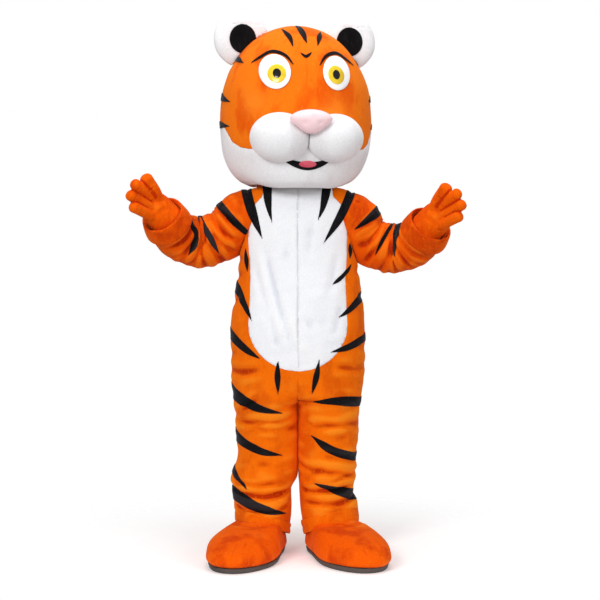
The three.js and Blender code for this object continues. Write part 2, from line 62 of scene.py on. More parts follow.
def between(at, keys, table):
    """A table's values between its rows, on curves that don't overshoot. keys rise."""
    keys, table = np.asarray(keys, float), np.asarray(table, float)
    if table.ndim == 1:
        return between(at, keys, table[:, None])[..., 0]
    step = np.diff(keys)[:, None]
    slope = np.diff(table, axis=0) / step
    lean = np.zeros_like(table)
    lean[0], lean[-1] = slope[0], slope[-1]
    before, after = slope[:-1], slope[1:]
    agree = before * after > 0
    total = np.where(agree, before + after, 1)
    lean[1:-1] = np.where(agree, 2 * before * after / total, 0)
    at = np.clip(np.asarray(at, float), keys[0], keys[-1])
    i = np.clip(np.searchsorted(keys, at, side="right") - 1, 0, len(keys) - 2)
    h = step[i, 0][..., None]
    t = (at - keys[i])[..., None] / h
    low, high = table[i], table[i + 1]
    return (
        low * (1 + 2 * t) * (1 - t) ** 2
        + high * t * t * (3 - 2 * t)
        + h * (lean[i] * t * (1 - t) ** 2 + lean[i + 1] * t * t * (t - 1))
    )


def smooth(x, low, high):
    t = np.clip((x - low) / (high - low), 0, 1)
    return t * t * (3 - 2 * t)


def ripple(points, size, seed, stretch=(1, 1, 1)):
    """Soft random unevenness between about -1 and 1, with lumps of about that size in millimetres."""
    points = points * np.array(stretch, float)
    rng = np.random.default_rng(seed)
    ways = rng.normal(size=(14, 3))
    ways *= (rng.uniform(0.6, 1.5, 14) * 2 * math.pi / (2.4 * size) / np.linalg.norm(ways, axis=1))[:, None]
    return np.sin(points @ ways.T + rng.uniform(0, 2 * math.pi, 14)).sum(1) / 5.0


def line_through(points, steps=8):
    """A smooth line through the given points, as more points."""
    points = np.asarray(points, float)
    padded = np.vstack([2 * points[0] - points[1], points, 2 * points[-1] - points[-2]])
    made = []
    for k in range(len(points) - 1):
        a, b, c, d = padded[k : k + 4]
        square, cube = 2 * a - 5 * b + 4 * c - d, 3 * b - a - 3 * c + d
        for t in np.arange(steps) / steps:
            made.append(0.5 * (2 * b + (c - a) * t + square * t**2 + cube * t**3))
    made.append(points[-1])
    return np.array(made)


def to_line(points, line, reach):
    """Each point's distance to the line, and the share of the line's length where it is nearest."""
    best, share = np.full(len(points), 1e3), np.zeros(len(points))
    near = np.all((points > line.min(0) - reach) & (points < line.max(0) + reach), axis=1)
    if not near.any():
        return best, share
    p = points[near]
    distance, along = np.full(len(p), 1e3), np.zeros(len(p))
    lengths = np.linalg.norm(np.diff(line, axis=0), axis=1)
    done = 0.0
    for a, b, length in zip(line, line[1:], lengths):
        t = np.clip((p - a) @ (b - a) / max(length**2, 1e-9), 0, 1)
        d = np.linalg.norm(p - a - t[:, None] * (b - a), axis=1)
        closer = d < distance
        distance[closer] = d[closer]
        along[closer] = (done + t[closer] * length) / lengths.sum()
        done += length
    best[near], share[near] = distance, along
    return best, share


def fuller(wave, power):
    """A wave between -1 and 1 with fuller shoulders, for a power below one."""
    return np.sign(wave) * np.abs(wave) ** power


# ---------------------------------------------------------------- cloth as sheets of triangles
# A sheet is (data, faces). A row of data holds a point as worn (0:3), the same point before creases and
# seams (3:6), its two surface coordinates (6:8), and how far the cloth is raised there (8).

WORN, PLAIN, U, V, RAISED = slice(0, 3), slice(3, 6), 6, 7, 8
WELD = 0.02  # points this close are one
HALF_GAP, SEAM_GAP = 0.15, 0.3  # left between two cloths sewn together, so that they only just clear


def welded(data, faces):
    """The sheet with points that fall together joined, and flat-out triangles dropped."""
    keys = np.round(data[:, PLAIN] / WELD).astype(np.int64)
    _, first, back = np.unique(keys, axis=0, return_index=True, return_inverse=True)
    faces = back.ravel()[faces]
    whole = (faces[:, 0] != faces[:, 1]) & (faces[:, 1] != faces[:, 2]) & (faces[:, 0] != faces[:, 2])
    return data[first], faces[whole]


def grid_sheet(surface, us, vs, turned=False):
    """A sheet over the surface function at every pair of u and v. Its faces point along du x dv, or the
    other way if turned."""
    u, v = (m.ravel() for m in np.meshgrid(us, vs, indexing="ij"))
    points = surface(u, v)
    data = np.column_stack([points, points, u, v, np.zeros(len(u))])
    rows, columns = len(us), len(vs)
    corner = (np.arange(rows - 1)[:, None] * columns + np.arange(columns - 1)).ravel()
    a, b, c, d = corner, corner + columns, corner + columns + 1, corner + 1
    even = (corner // columns + corner % columns) % 2 == 0
    one = np.where(even[:, None], np.column_stack([a, b, c]), np.column_stack([a, b, d]))
    two = np.where(even[:, None], np.column_stack([a, c, d]), np.column_stack([b, c, d]))
    faces = np.vstack([one, two])
    return welded(data, faces[:, ::-1] if turned else faces)


def normals_of(points, faces):
    a, b, c = (points[faces[:, k]] for k in range(3))
    across = np.cross(b - a, c - a)
    total = np.zeros_like(points)
    for k in range(3):
        np.add.at(total, faces[:, k], across)
    return total / np.maximum(np.linalg.norm(total, axis=1), 1e-9)[:, None]


def raised(sheet, height):
    """The sheet pushed out along its normals by a height in millimetres at each point."""
    data, faces = sheet
    data = data.copy()
    data[:, WORN] += normals_of(data[:, WORN], faces) * height[:, None]
    data[:, RAISED] += height
    return data, faces


def cut(sheet, field):
    """The part of the sheet where field, a value for each row of data, is above zero."""
    data, faces = sheet
    value = field(data)
    value = np.where(np.abs(value) < 1e-6, 1e-6, value)
    count = (value > 0)[faces].sum(1)
    rows, kept, made = [], [], {}

    def crossing(i, j):
        key = (i, j) if i < j else (j, i)
        if key not in made:
            t = value[i] / (value[i] - value[j])
            rows.append(data[i] + (data[j] - data[i]) * t)
            made[key] = len(data) + len(rows) - 1
        return made[key]

    for face in faces[(count > 0) & (count < 3)]:
        a, b, c = (int(i) for i in face)
        lone_is_in = sum(value[i] > 0 for i in face) == 1
        while (value[a] > 0) != lone_is_in:
            a, b, c = b, c, a
        ab, ac = crossing(a, b), crossing(a, c)
        kept += [[a, ab, ac]] if lone_is_in else [[ab, b, c], [ab, c, ac]]
    faces = np.vstack([faces[count == 3], np.array(kept, int).reshape(-1, 3)])
    data = np.vstack([data, np.array(rows).reshape(-1, data.shape[1])])
    used, back = np.unique(faces, return_inverse=True)
    return data[used], back.reshape(-1, 3)


def finer(sheet):
    """The sheet with every triangle split in four."""
    data, faces = sheet
    edges = np.sort(np.vstack([faces[:, [0, 1]], faces[:, [1, 2]], faces[:, [2, 0]]]), axis=1)
    unique, back = np.unique(edges, axis=0, return_inverse=True)
    back = back.ravel() + len(data)
    middle = (data[unique[:, 0]] + data[unique[:, 1]]) / 2
    n = len(faces)
    ab, bc, ca = back[:n], back[n : 2 * n], back[2 * n :]
    a, b, c = faces.T
    split = [(a, ab, ca), (ab, b, bc), (ca, bc, c), (ab, bc, ca)]
    return np.vstack([data, middle]), np.vstack([np.column_stack(s) for s in split])


def only(sheet, keep):
    """The triangles that have a corner where keep is true."""
    data, faces = sheet
    faces = faces[keep[faces].any(1)]
    used, back = np.unique(faces, return_inverse=True)
    return data[used], back.reshape(-1, 3)


# ---------------------------------------------------------------- pieces


def apply_all(piece):
    bpy.ops.object.select_all(action="DESELECT")
    piece.select_set(True)
    bpy.context.view_layer.objects.active = piece
    for modifier in list(piece.modifiers):
        bpy.ops.object.modifier_apply(modifier=modifier.name)
    piece.select_set(False)


def finish_piece(piece, look, stands_for=()):
    material, slot = LOOKS[look]
    piece.data.materials.clear()
    piece.data.materials.append(material)
    for polygon in piece.data.polygons:
        polygon.use_smooth = True
    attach(piece, "root")
    if stands_for:
        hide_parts(*stands_for)
    return piece


def seam(here, offset):
    """The distance to a seam at no offset, for dipped(); far away where here is false."""
    return np.where(here, np.abs(offset), 500)


def placed(points, place):
    return points @ np.array(place.to_3x3()).T + np.array(place.translation)


def points_of(piece):
    flat = np.empty(len(piece.data.vertices) * 3)
    piece.data.vertices.foreach_get("co", flat)
    return flat.reshape(-1, 3)


def piece_from(name, data, faces, place=None):
    """An object with the sheet's worn form, and its raised heights in the attribute "raised"."""
    points = data[:, WORN]
    if place is not None:
        points = placed(points, place)
    mesh = bpy.data.meshes.new(name)
    mesh.from_pydata(to_row(points).tolist(), [], faces.tolist())
    # The plush looks paint shade where this height is low and a highlight where it is high.
    height = mesh.attributes.new("raised", "FLOAT", "POINT")
    height.data.foreach_set("value", (data[:, RAISED] / 10).astype(np.float32))
    mesh.validate()
    piece = bpy.data.objects.new(name, mesh)
    bpy.context.scene.collection.objects.link(piece)
    return piece


def cloth(name, sheet, thick, look, stands_for=(), out=0.0, place=None):
    """A wall of cloth under the sheet, that far out from it."""
    data, faces = sheet
    if out:
        data = data.copy()
        data[:, WORN] += normals_of(data[:, WORN], faces) * out
    piece = piece_from(name, data, faces, place)
    wall = piece.modifiers.new("wall", "SOLIDIFY")
    wall.thickness = thick * MM
    wall.offset = -1
    apply_all(piece)
    return finish_piece(piece, look, stands_for)


sewn_on = []  # each stripe or patch sewn on another cloth, and its greatest width


def stripe_on(name, sheet, line, widths, rise=1.6, thick=1.4, place=None, stands_for=(), faces_way=0):
    """A tapered stripe sewn on the sheet along a line of plain points, as broad as widths say along it. A
    line with no depth is drawn in the front view, and goes on round the back unless faces_way is -1."""
    shares = np.linspace(0, 1, len(widths))
    reach = max(widths) / 2 + 14
    flat = not np.any(line[:, 1])

    def field(data):
        points = data[:, PLAIN] * ([1, 0, 1] if flat else [1, 1, 1])
        distance, share = to_line(points, line, reach)
        inside = between(share, shares, np.array(widths) / 2) - distance
        return np.where(data[:, 4] * faces_way < 0, -50, inside) if faces_way else inside

    near = only(sheet, field(sheet[0]) > -12)
    if not len(near[1]):
        return None
    patch = cut(finer(near), field)
    if not len(patch[1]):
        return None
    piece = cloth(name, patch, thick, "black", stands_for, out=rise, place=place)
    sewn_on.append((piece, max(widths)))
    return piece


def front_line(sign, places):
    """A line drawn in the front view through (outwards, height) places."""
    x, z = line_through(np.array(places, float)).T
    return np.column_stack([sign * x, np.zeros(len(x)), z])


# ---------------------------------------------------------------- looks


RESULTS = ("Color", "Height", "Roughness")


def node_group(name, inputs):
    """A shader node group with the given inputs and their values, that gives the three results."""
    tree = bpy.data.node_groups.new(name, "ShaderNodeTree")
    for label, value in inputs.items():
        kind = "NodeSocketColor" if isinstance(value, tuple) else "NodeSocketFloat"
        tree.interface.new_socket(name=label, in_out="INPUT", socket_type=kind).default_value = value
    for label in RESULTS:
        kind = "NodeSocketColor" if label == "Color" else "NodeSocketFloat"
        tree.interface.new_socket(name=label, in_out="OUTPUT", socket_type=kind)
    return tree, tree.nodes.new("NodeGroupInput").outputs, tree.nodes.new("NodeGroupOutput")


def feed(tree, socket, source):
    """A link to the socket from another one, or a value for it."""
    if isinstance(source, bpy.types.NodeSocket):
        tree.links.new(source, socket)
    else:
        socket.default_value = source


def node(tree, kind, links=(), **settings):
    """A node with its settings, and its inputs fed by (input, output socket or value) pairs."""
    made = tree.nodes.new(kind)
    for key, value in settings.items():
        setattr(made, key, value)
    for key, source in links:
        feed(tree, made.inputs[key], source)
    return made


def noise(tree, place, scale, detail=2.0, roughness=0.5, stretch=None):
    if stretch:
        place = node(tree, "ShaderNodeMapping", [("Vector", place), ("Scale", stretch)]).outputs[0]
    links = [("Vector", place), ("Scale", scale), ("Detail", detail), ("Roughness", roughness)]
    return node(tree, "ShaderNodeTexNoise", links).outputs["Fac"]


def ramp(tree, source, low, high, to_low=0.0, to_high=1.0):
    links = [("Value", source), ("From Min", low), ("From Max", high)]
    links += [("To Min", to_low), ("To Max", to_high)]
    return node(tree, "ShaderNodeMapRange", links, interpolation_type="SMOOTHSTEP").outputs["Result"]


def blend(tree, share, one, two, how="MIX"):
    made = node(tree, "ShaderNodeMix", data_type="RGBA", blend_type=how)
    for key, source in zip((0, 6, 7), (share, one, two)):  # the factor and the two colours
        feed(tree, made.inputs[key], source)
    return made.outputs[2]


def maths(tree, how, one, two):
    return node(tree, "ShaderNodeMath", [(0, one), (1, two)], operation=how).outputs[0]


def build_pile():
    """Short plush pile: brushed patches, painted shade in its hollows, painted highlight on its crests, and
    tufts for the bump.
    """
    colour = (0.8, 0.8, 0.8, 1)
    inputs = {"Main": colour, "Shade And Brushed": colour, "Highlight And Streaks": colour, "Brushed": 0.5, "Tuft Scale": 500.0}
    tree, given, out = node_group("Plush pile", inputs)
    place = node(tree, "ShaderNodeTexCoord").outputs["Object"]
    raised_at = node(tree, "ShaderNodeAttribute", attribute_name="raised").outputs["Fac"]
    patches = noise(tree, place, 11.0, 3.0, 0.55, (1, 1, 0.6))
    strokes = noise(tree, place, 70.0, 3.0, 0.6, (1.6, 1.6, 0.45))
    tufts = noise(tree, place, given["Tuft Scale"], 2.0, 0.7)
    # Painted shade and highlight: darker where "raised" is low, in creases, seams and hollows, and paler
    # where it is high, on crests.
    hollow = ramp(tree, raised_at, -0.03, -0.6)
    crest_highlight = ramp(tree, raised_at, 0.02, 0.46)
    brushed = maths(tree, "MULTIPLY", ramp(tree, patches, 0.46, 0.64), given["Brushed"])
    # The painted shade colour also darkens the brushed patches, and the painted highlight colour also
    # lightens the streaks.
    dark = maths(tree, "MAXIMUM", hollow, brushed)
    body = blend(tree, dark, given["Main"], given["Shade And Brushed"])
    stroke_share = maths(tree, "MULTIPLY", ramp(tree, strokes, 0.5, 0.75), 0.35)
    pale = maths(tree, "MAXIMUM", maths(tree, "MULTIPLY", crest_highlight, 0.85), stroke_share)
    body = blend(tree, pale, body, given["Highlight And Streaks"])
    speck = ramp(tree, tufts, 0.3, 0.75, 0.86, 1.08)
    channels = [(part, speck) for part in ("Red", "Green", "Blue")]
    grey = node(tree, "ShaderNodeCombineColor", channels).outputs[0]
    body = blend(tree, 1.0, body, grey, "MULTIPLY")
    height = maths(tree, "ADD", maths(tree, "MULTIPLY", tufts, 0.7), maths(tree, "MULTIPLY", strokes, 0.6))
    rough = ramp(tree, strokes, 0.3, 0.7, 0.72, 0.95)
    for label, source in zip(RESULTS, (body, height, rough)):
        tree.links.new(source, out.inputs[label])
    return tree


def build_weave():
    """A fine grain for smooth cloth, foam sheet and rubber."""
    colour = (0.5, 0.5, 0.5, 1)
    inputs = {"Main": colour, "Worn": colour, "Grain Scale": 300.0, "Rough": 0.6}
    tree, given, out = node_group("Fine grain", inputs)
    place = node(tree, "ShaderNodeTexCoord").outputs["Object"]
    grain = noise(tree, place, given["Grain Scale"], 3.0, 0.6)
    cloud = noise(tree, place, 14.0, 4.0, 0.6)
    worn = ramp(tree, cloud, 0.5, 0.72)
    body = blend(tree, worn, given["Main"], given["Worn"])
    uneven = ramp(tree, cloud, 0.35, 0.7, -0.08, 0.08)
    rough = maths(tree, "ADD", given["Rough"], uneven)
    for label, source in zip(RESULTS, (body, grain, rough)):
        tree.links.new(source, out.inputs[label])
    return tree


PILE, GRAIN = build_pile(), build_weave()


def srgb(red, green, blue):
    channels = [c / 255 for c in (red, green, blue)]
    return tuple(c / 12.92 if c <= 0.04045 else ((c + 0.055) / 1.055) ** 2.4 for c in channels) + (1,)


def new_material(name):
    material = bpy.data.materials.new(name)
    material.use_nodes = True
    return material, material.node_tree, material.node_tree.nodes["Principled BSDF"]


def make_look(name, group, values, bump, depth, **shader):
    material, tree, base = new_material(name)
    pattern = node(tree, "ShaderNodeGroup", node_tree=group)
    for key, value in values.items():
        pattern.inputs[key].default_value = value
    links = [("Height", pattern.outputs["Height"]), ("Strength", bump), ("Distance", depth)]
    relief = node(tree, "ShaderNodeBump", links)
    tree.links.new(pattern.outputs["Color"], base.inputs["Base Color"])
    tree.links.new(pattern.outputs["Roughness"], base.inputs["Roughness"])
    tree.links.new(relief.outputs["Normal"], base.inputs["Normal"])
    for key, value in shader.items():
        base.inputs[key.replace("_", " ")].default_value = value
    return material


ORANGE_SHEEN, WHITE_SHEEN, BLACK_SHEEN = (1, 0.55, 0.12, 1), (1, 1, 1, 1), (0.7, 0.7, 0.8, 1)


# Plush colours: main, painted shade (also the brushed patches), painted highlight (also the streaks).
def plush(name, main, hollow, crest_highlight, brushed, sheen=0.3, sheen_tint=ORANGE_SHEEN, tuft=420.0):
    values = {"Main": srgb(*main), "Shade And Brushed": srgb(*hollow), "Highlight And Streaks": srgb(*crest_highlight)}
    values |= {"Brushed": brushed, "Tuft Scale": tuft}
    return make_look(
        name, PILE, values, 0.5, 0.0016,
        Sheen_Weight=sheen, Sheen_Roughness=0.35, Sheen_Tint=sheen_tint, Specular_IOR_Level=0.06,
    )


def smooth_look(name, main, worn, grain, rough, bump=0.2, depth=0.0004, **shader):
    values = {"Main": srgb(*main), "Worn": srgb(*worn), "Grain Scale": grain, "Rough": rough}
    return make_look(name, GRAIN, values, bump, depth, **shader)


# Each plush look: main colour, painted shade colour, painted highlight colour, brushed share, then sheen.
LOOKS = {
    "suit": (plush("suit plush", (249, 112, 2), (192, 52, 0), (255, 140, 26), 0.4), "orange_plush"),
    "sleeve": (plush("sleeve plush", (240, 88, 0), (184, 42, 0), (253, 118, 16), 0.55), "orange_plush"),
    "mitt": (plush("mitt plush", (244, 96, 0), (200, 52, 0), (255, 132, 26), 0.5, 0.15), "orange_plush"),
    "boot": (plush("boot plush", (243, 92, 0), (208, 58, 0), (250, 130, 34), 0.8, 0.12), "orange_plush"),
    "head": (plush("head plush", (247, 118, 14), (228, 78, 0), (253, 146, 44), 0.75), "orange_plush"),
    "belly": (
        plush(
            "belly plush", (249, 251, 255), (228, 231, 240), (254, 254, 255), 0.05, 0.2, WHITE_SHEEN, 600.0
        ),
        "white_plush",
    ),
    "white": (
        plush("head white plush", (242, 242, 244), (222, 219, 220), (250, 250, 251), 0.4, 0.25, WHITE_SHEEN),
        "white_plush",
    ),
    "black": (
        plush("stripe plush", (20, 19, 21), (10, 9, 10), (46, 44, 48), 0.4, 0.25, BLACK_SHEEN, 700.0),
        "black_plush",
    ),
    "nose": (smooth_look("nose fleece", (250, 214, 218), (240, 192, 200), 900.0, 0.55), "pink_plush"),
    "tongue": (smooth_look("tongue fleece", (216, 84, 104), (200, 66, 88), 900.0, 0.7), "tongue_plush"),
    "eye": (smooth_look("eye white", (250, 250, 250), (240, 240, 242), 60.0, 0.25, 0.03), "eye_white"),
    "amber": (smooth_look("iris", (236, 204, 40), (214, 168, 20), 160.0, 0.2, 0.05), "amber"),
    "pupil": (smooth_look("pupil", (8, 8, 9), (12, 12, 13), 60.0, 0.12, 0.03), "black_plush"),
    "sole": (smooth_look("sole rubber", (80, 71, 67), (62, 55, 52), 380.0, 0.8, 0.5, 0.0008), "sole_rubber"),
}


# ---------------------------------------------------------------- the suit's form

# Columns: height, reach outwards and inwards from the centre plane on the right and on the left half
# (inwards is below zero past the plane), reach to the front and to the back.
HALF_ROWS = np.array(
    [
        (55, 216, 34, 216, 26, 106, 98), (165, 221, 22, 207, 7, 106, 98),
        (222, 227, 24, 193, 4, 103, 98), (272, 233, 1, 201, 1, 112, 100),
        (340, 212, -4, 205, -4, 112, 104), (430, 216, -4, 212, -4, 120, 114),
        (524, 224, -4, 216, -4, 134, 136), (556, 228, -92, 223, -92, 141, 140),
        (590, 231, -180, 228, -180, 147, 142), (632, 234, -232, 232, -232, 153, 141),
        (790, 235, -235, 235, -235, 166, 129), (920, 216, -216, 220, -220, 158, 120),
        (1020, 206, -206, 208, -208, 145, 118), (1190, 214, -214, 214, -214, 124, 108),
        (1232, 208, -208, 206, -206, 112, 100), (1256, 197, -197, 193, -193, 105, 96),
        (1270, 177, -177, 172, -172, 100, 92), (1278, 150, -150, 146, -146, 97, 90),
        (1282, 122, -122, 120, -120, 94, 88), (1325, 96, -96, 96, -96, 88, 82),
    ],
    float,
)
CENTRE_GAP = 0.03
CROTCH, LEG_GAP = 526, 0.04  # below the crotch the legs only just touch at the centre plane
ARMHOLE = 186.0
THICK = {"suit": 2.6, "head": 12, "muzzle": 8, "ear": 5, "mitt": 4.4, "boot": 6}  # of each cloth


def half_section(side, z):
    """The middle, half width, and reach to the front and back of one half at a height."""
    out, inward = (1, 2) if side == "right" else (3, 4)
    rows = between(z, HALF_ROWS[:, 0], HALF_ROWS[:, [out, inward, 5, 6]])
    return (rows[..., 0] + rows[..., 1]) / 2, (rows[..., 0] - rows[..., 1]) / 2, rows[..., 2], rows[..., 3]


def half_surface(side):
    """The half's surface at a turn (degrees from the front, outwards) and a height."""

    def surface(turn, z):
        middle, wide, front, back = half_section(side, z)
        a = np.radians(turn)
        deep = np.where(np.cos(a) > 0, front, back)
        return np.column_stack([SIDES[side] * (middle + wide * np.sin(a)), -deep * np.cos(a), z])

    return surface


def turn_at(side, x, z):
    """The turn at which the front of the half is x outwards. Past the half's edge it goes on behind."""
    middle, wide, _, _ = half_section(side, z)
    share = (x - middle) / wide
    inside = np.degrees(np.arcsin(np.clip(share, -1, 1)))
    return float(inside + np.sign(share) * max(abs(share) - 1, 0) * 75)


def out_of_body(points, side):
    """About how far a point lies outside the suit's body, in millimetres."""
    middle, wide, front, back = half_section(side, points[:, 2])
    deep = np.where(points[:, 1] < 0, front, back)
    x = (SIDES[side] * points[:, 0] - middle) / wide
    radius = np.hypot(x, points[:, 1] / deep)
    return (radius - 1) * np.minimum(wide, deep)


# Columns: distance out from the centre plane, depth, height, half width in the bend's plane and across it.
ARM_ROWS = {
    "right": [
        (110, 4, 1186, 84, 82), (184, 8, 1166, 112, 95), (262, 13, 1114, 90, 91),
        (345, 8, 1088, 88, 88), (402, -28, 1102, 83, 84), (437, -76, 1134, 76, 76),
        (460, -118, 1174, 69, 70),
    ],
    "left": [
        (110, 4, 1184, 84, 82), (184, 8, 1156, 110, 95), (252, 11, 1090, 85, 89),
        (340, 6, 1066, 85, 86), (394, -28, 1077, 80, 82), (427, -72, 1106, 75, 76),
        (449, -110, 1143, 68, 70),
    ],
}
BEND_AXIS = np.array([0.36, 0.71, 0.61])


def arm_frames(side, along):
    """Centre, direction, inner-bend way, bend-axis way and the two half widths at shares of the arm."""
    rows = np.array(ARM_ROWS[side], float)
    rows[:, 0] *= SIDES[side]
    steps = np.linalg.norm(np.diff(rows[:, :3], axis=0), axis=1)
    keys = np.append(0, np.cumsum(steps)) / steps.sum()
    here = between(np.clip(along, 0, 1), keys, rows)
    past = np.clip(along - 1, 0, None)[:, None] * steps.sum()
    step = 0.02
    ahead, behind = (between(np.clip(along + s, 0, 1), keys, rows)[:, :3] for s in (step, -step))
    way = (ahead - behind) / np.linalg.norm(ahead - behind, axis=1)[:, None]
    axis = BEND_AXIS * [SIDES[side], 1, 1]
    deep_way = axis - (way @ axis)[:, None] * way
    deep_way /= np.linalg.norm(deep_way, axis=1)[:, None]
    high_way = np.cross(way, deep_way) * SIDES[side]
    return here[:, :3] + way * past, way, high_way, deep_way, here[:, 3], here[:, 4]


def arm_surface(side):
    """The arm's surface at a turn (degrees from the inside of the bend) and a share of its length."""

    def surface(turn, along):
        centre, _, high_way, deep_way, high, deep = arm_frames(side, along)
        a = np.radians(turn)
        across = (high * np.cos(a))[:, None] * high_way
        return centre + across + (deep * np.sin(a))[:, None] * deep_way

    return surface


def out_of_arm(points, side):
    """About how far a point lies outside the sleeve, in millimetres."""
    shares = np.linspace(0, 1, 60)
    centre, _, high_way, deep_way, high, deep = arm_frames(side, shares)
    result = np.full(len(points), 1e3)
    near = points[:, 0] * SIDES[side] > 90
    p = points[near]
    nearest = np.argmin(((p[:, None] - centre) ** 2).sum(2), axis=1)
    offset = p - centre[nearest]
    x = (offset * high_way[nearest]).sum(1) / high[nearest]
    y = (offset * deep_way[nearest]).sum(1) / deep[nearest]
    result[near] = (np.hypot(x, y) - 1) * high[nearest]
    return result


# ---------------------------------------------------------------- creases


def creased(sheet, surface, creases, fade=None):
    """The sheet with its creases pressed in. A crease is (places, depth, width, lip): a soft trough
    along the places, with a roll of the lip's height on its upper or outer side."""
    data, _ = sheet
    height = np.zeros(len(data))
    for places, depth, width, lip in creases:
        u, v = np.array(places, float).T
        line = surface(*line_through(np.column_stack([u, v])).T)
        distance, share = to_line(data[:, PLAIN], line, 5 * width)
        ends = smooth(share, 0, 0.22) * smooth(1 - share, 0, 0.22)
        trough = np.exp(-((distance / width) ** 2))
        roll = np.exp(-(((distance - 2.1 * width) / (1.25 * width)) ** 2))
        height += ends * (lip * roll - depth * trough)
    height = np.where(height < 0, 8.5 * np.tanh(height / 8.5), 6 * np.tanh(height / 6))
    if fade is not None:
        height *= fade
    return raised(sheet, height)


def dipped(sheet, distances, deep=1.6, wide=4.0):
    """The sheet drawn in a little along seams, given each point's distance to each seam."""
    height = -sum(deep * np.exp(-((d / wide) ** 2)) for d in distances)
    return raised(sheet, height)


# ---------------------------------------------------------------- the suit

# The belly panel's outline: its half width by height above its round bottom.
BELLY_BOTTOM, BELLY_ROUND = 648.0, 806.0
BELLY_ROWS = np.array(
    [(806, 170), (955, 164), (1110, 171), (1155, 171), (1208, 154), (1250, 121), (1400, 108)], float
)


def belly_edge(data):
    """How far a point lies inside the belly panel's outline, in millimetres. Behind, it is far outside."""
    x, z = np.abs(data[:, PLAIN][:, 0]), data[:, PLAIN][:, 2]
    half = between(z, BELLY_ROWS[:, 0], BELLY_ROWS[:, 1])
    rise = (BELLY_ROUND - z) / (BELLY_ROUND - BELLY_BOTTOM)
    radius = np.hypot(np.clip(rise, 0, None), x / BELLY_ROWS[0, 1])
    below = (1 - radius) * 168
    inside = np.where(z < BELLY_ROUND, below, half - x)
    return np.where(data[:, PLAIN][:, 1] < 0, inside, -500)


LEG_CENTRE, HEM_HEIGHT, HEM_SLOPE = 125, 90, 0.24


def hem_height(side):
    """How far a point lies above the leg's hem, which rises over the instep and to the outside."""

    def field(data):
        x, y, z = data[:, PLAIN].T
        out = x * SIDES[side] - LEG_CENTRE
        return (z - HEM_HEIGHT - HEM_SLOPE * out + HEM_SLOPE * y) / 1.05

    return field


# Creases of each half, as (turn, height) places, then depth, width and lip.
BODY_CREASES = {
    "right": [
        ([(-64, 486), (-20, 474), (40, 470), (95, 478)], 6.5, 9, 4.5),
        ([(-70, 440), (-10, 452), (50, 440)], 3.0, 12, 2.0),
        ([(-88, 238), (-40, 216), (10, 212), (60, 224), (110, 244)], 9.0, 9, 5.5),
        ([(-30, 262), (20, 250), (74, 262)], 4.0, 10, 3.0),
        ([(-80, 176), (-20, 158), (40, 160), (100, 186)], 5.5, 9, 3.5),
        ([(-50, 138), (0, 128), (52, 136)], 3.0, 9, 2.0),
        ([(-70, 330), (-20, 318), (26, 326)], 3.0, 14, 2.0),
        ([(18, 560), (40, 520), (66, 498), (98, 486)], 5.0, 12, 3.0),
        ([(-78, 566), (-40, 548), (-8, 556)], 5.0, 11, 2.5),
        ([(30, 656), (56, 640), (92, 648)], 4.5, 12, 2.5),
        ([(58, 720), (84, 700), (120, 712)], 3.0, 14, 2.0),
        ([(62, 905), (88, 880), (120, 890)], 4.0, 14, 2.0),
        ([(66, 985), (90, 968), (124, 972)], 3.5, 13, 2.0),
        ([(66, 1046), (84, 1030), (112, 1036)], 3.0, 11, 1.5),
        ([(-40, 700), (-20, 610), (-34, 560)], 3.0, 12, 1.5),
        ([(140, 690), (165, 610), (150, 560)], 4.0, 14, 2.0),
        ([(120, 470), (160, 480), (200, 470)], 6.0, 10, 4.0),
        ([(118, 232), (160, 216), (220, 232)], 8.0, 9, 5.0),
        ([(125, 172), (170, 160), (214, 172)], 5.0, 9, 3.0),
        ([(130, 800), (160, 770), (178, 776)], 3.0, 15, 2.0),
        ([(128, 1060), (150, 1010), (172, 990)], 3.5, 15, 2.0),
    ],
    "left": [
        ([(-84, 236), (-30, 228), (30, 238), (82, 252)], 8.0, 9, 5.0),
        ([(-60, 276), (0, 296), (60, 284), (104, 300)], 6.0, 10, 4.0),
        ([(-84, 330), (-36, 306), (8, 310)], 6.5, 10, 4.0),
        ([(-20, 352), (40, 338), (90, 350)], 3.5, 13, 2.5),
        ([(-80, 196), (-10, 186), (60, 196), (110, 212)], 6.0, 9, 4.0),
        ([(4, 262), (40, 276), (76, 270)], 4.0, 8, 2.5),
        ([(-60, 470), (-10, 456), (52, 462), (96, 474)], 4.5, 11, 3.0),
        ([(-76, 560), (-36, 540), (4, 548)], 5.0, 11, 2.5),
        ([(20, 572), (54, 540), (90, 524)], 4.0, 13, 2.5),
        ([(30, 664), (58, 650), (96, 660)], 4.0, 12, 2.5),
        ([(60, 736), (90, 720), (122, 730)], 3.0, 14, 2.0),
        ([(64, 915), (90, 896), (122, 902)], 4.0, 13, 2.0),
        ([(66, 1000), (88, 986), (118, 990)], 3.5, 12, 2.0),
        ([(68, 1058), (88, 1044), (112, 1050)], 2.5, 11, 1.5),
        ([(-44, 690), (-22, 606), (-36, 556)], 3.0, 12, 1.5),
        ([(142, 684), (166, 606), (150, 556)], 4.0, 14, 2.0),
        ([(118, 462), (160, 474), (206, 462)], 6.0, 10, 4.0),
        ([(116, 300), (164, 312), (216, 296)], 6.0, 10, 4.0),
        ([(120, 238), (170, 226), (216, 240)], 8.0, 9, 5.0),
        ([(132, 796), (158, 768), (176, 774)], 3.0, 15, 2.0),
        ([(128, 1052), (152, 1006), (172, 986)], 3.5, 15, 2.0),
    ],
}
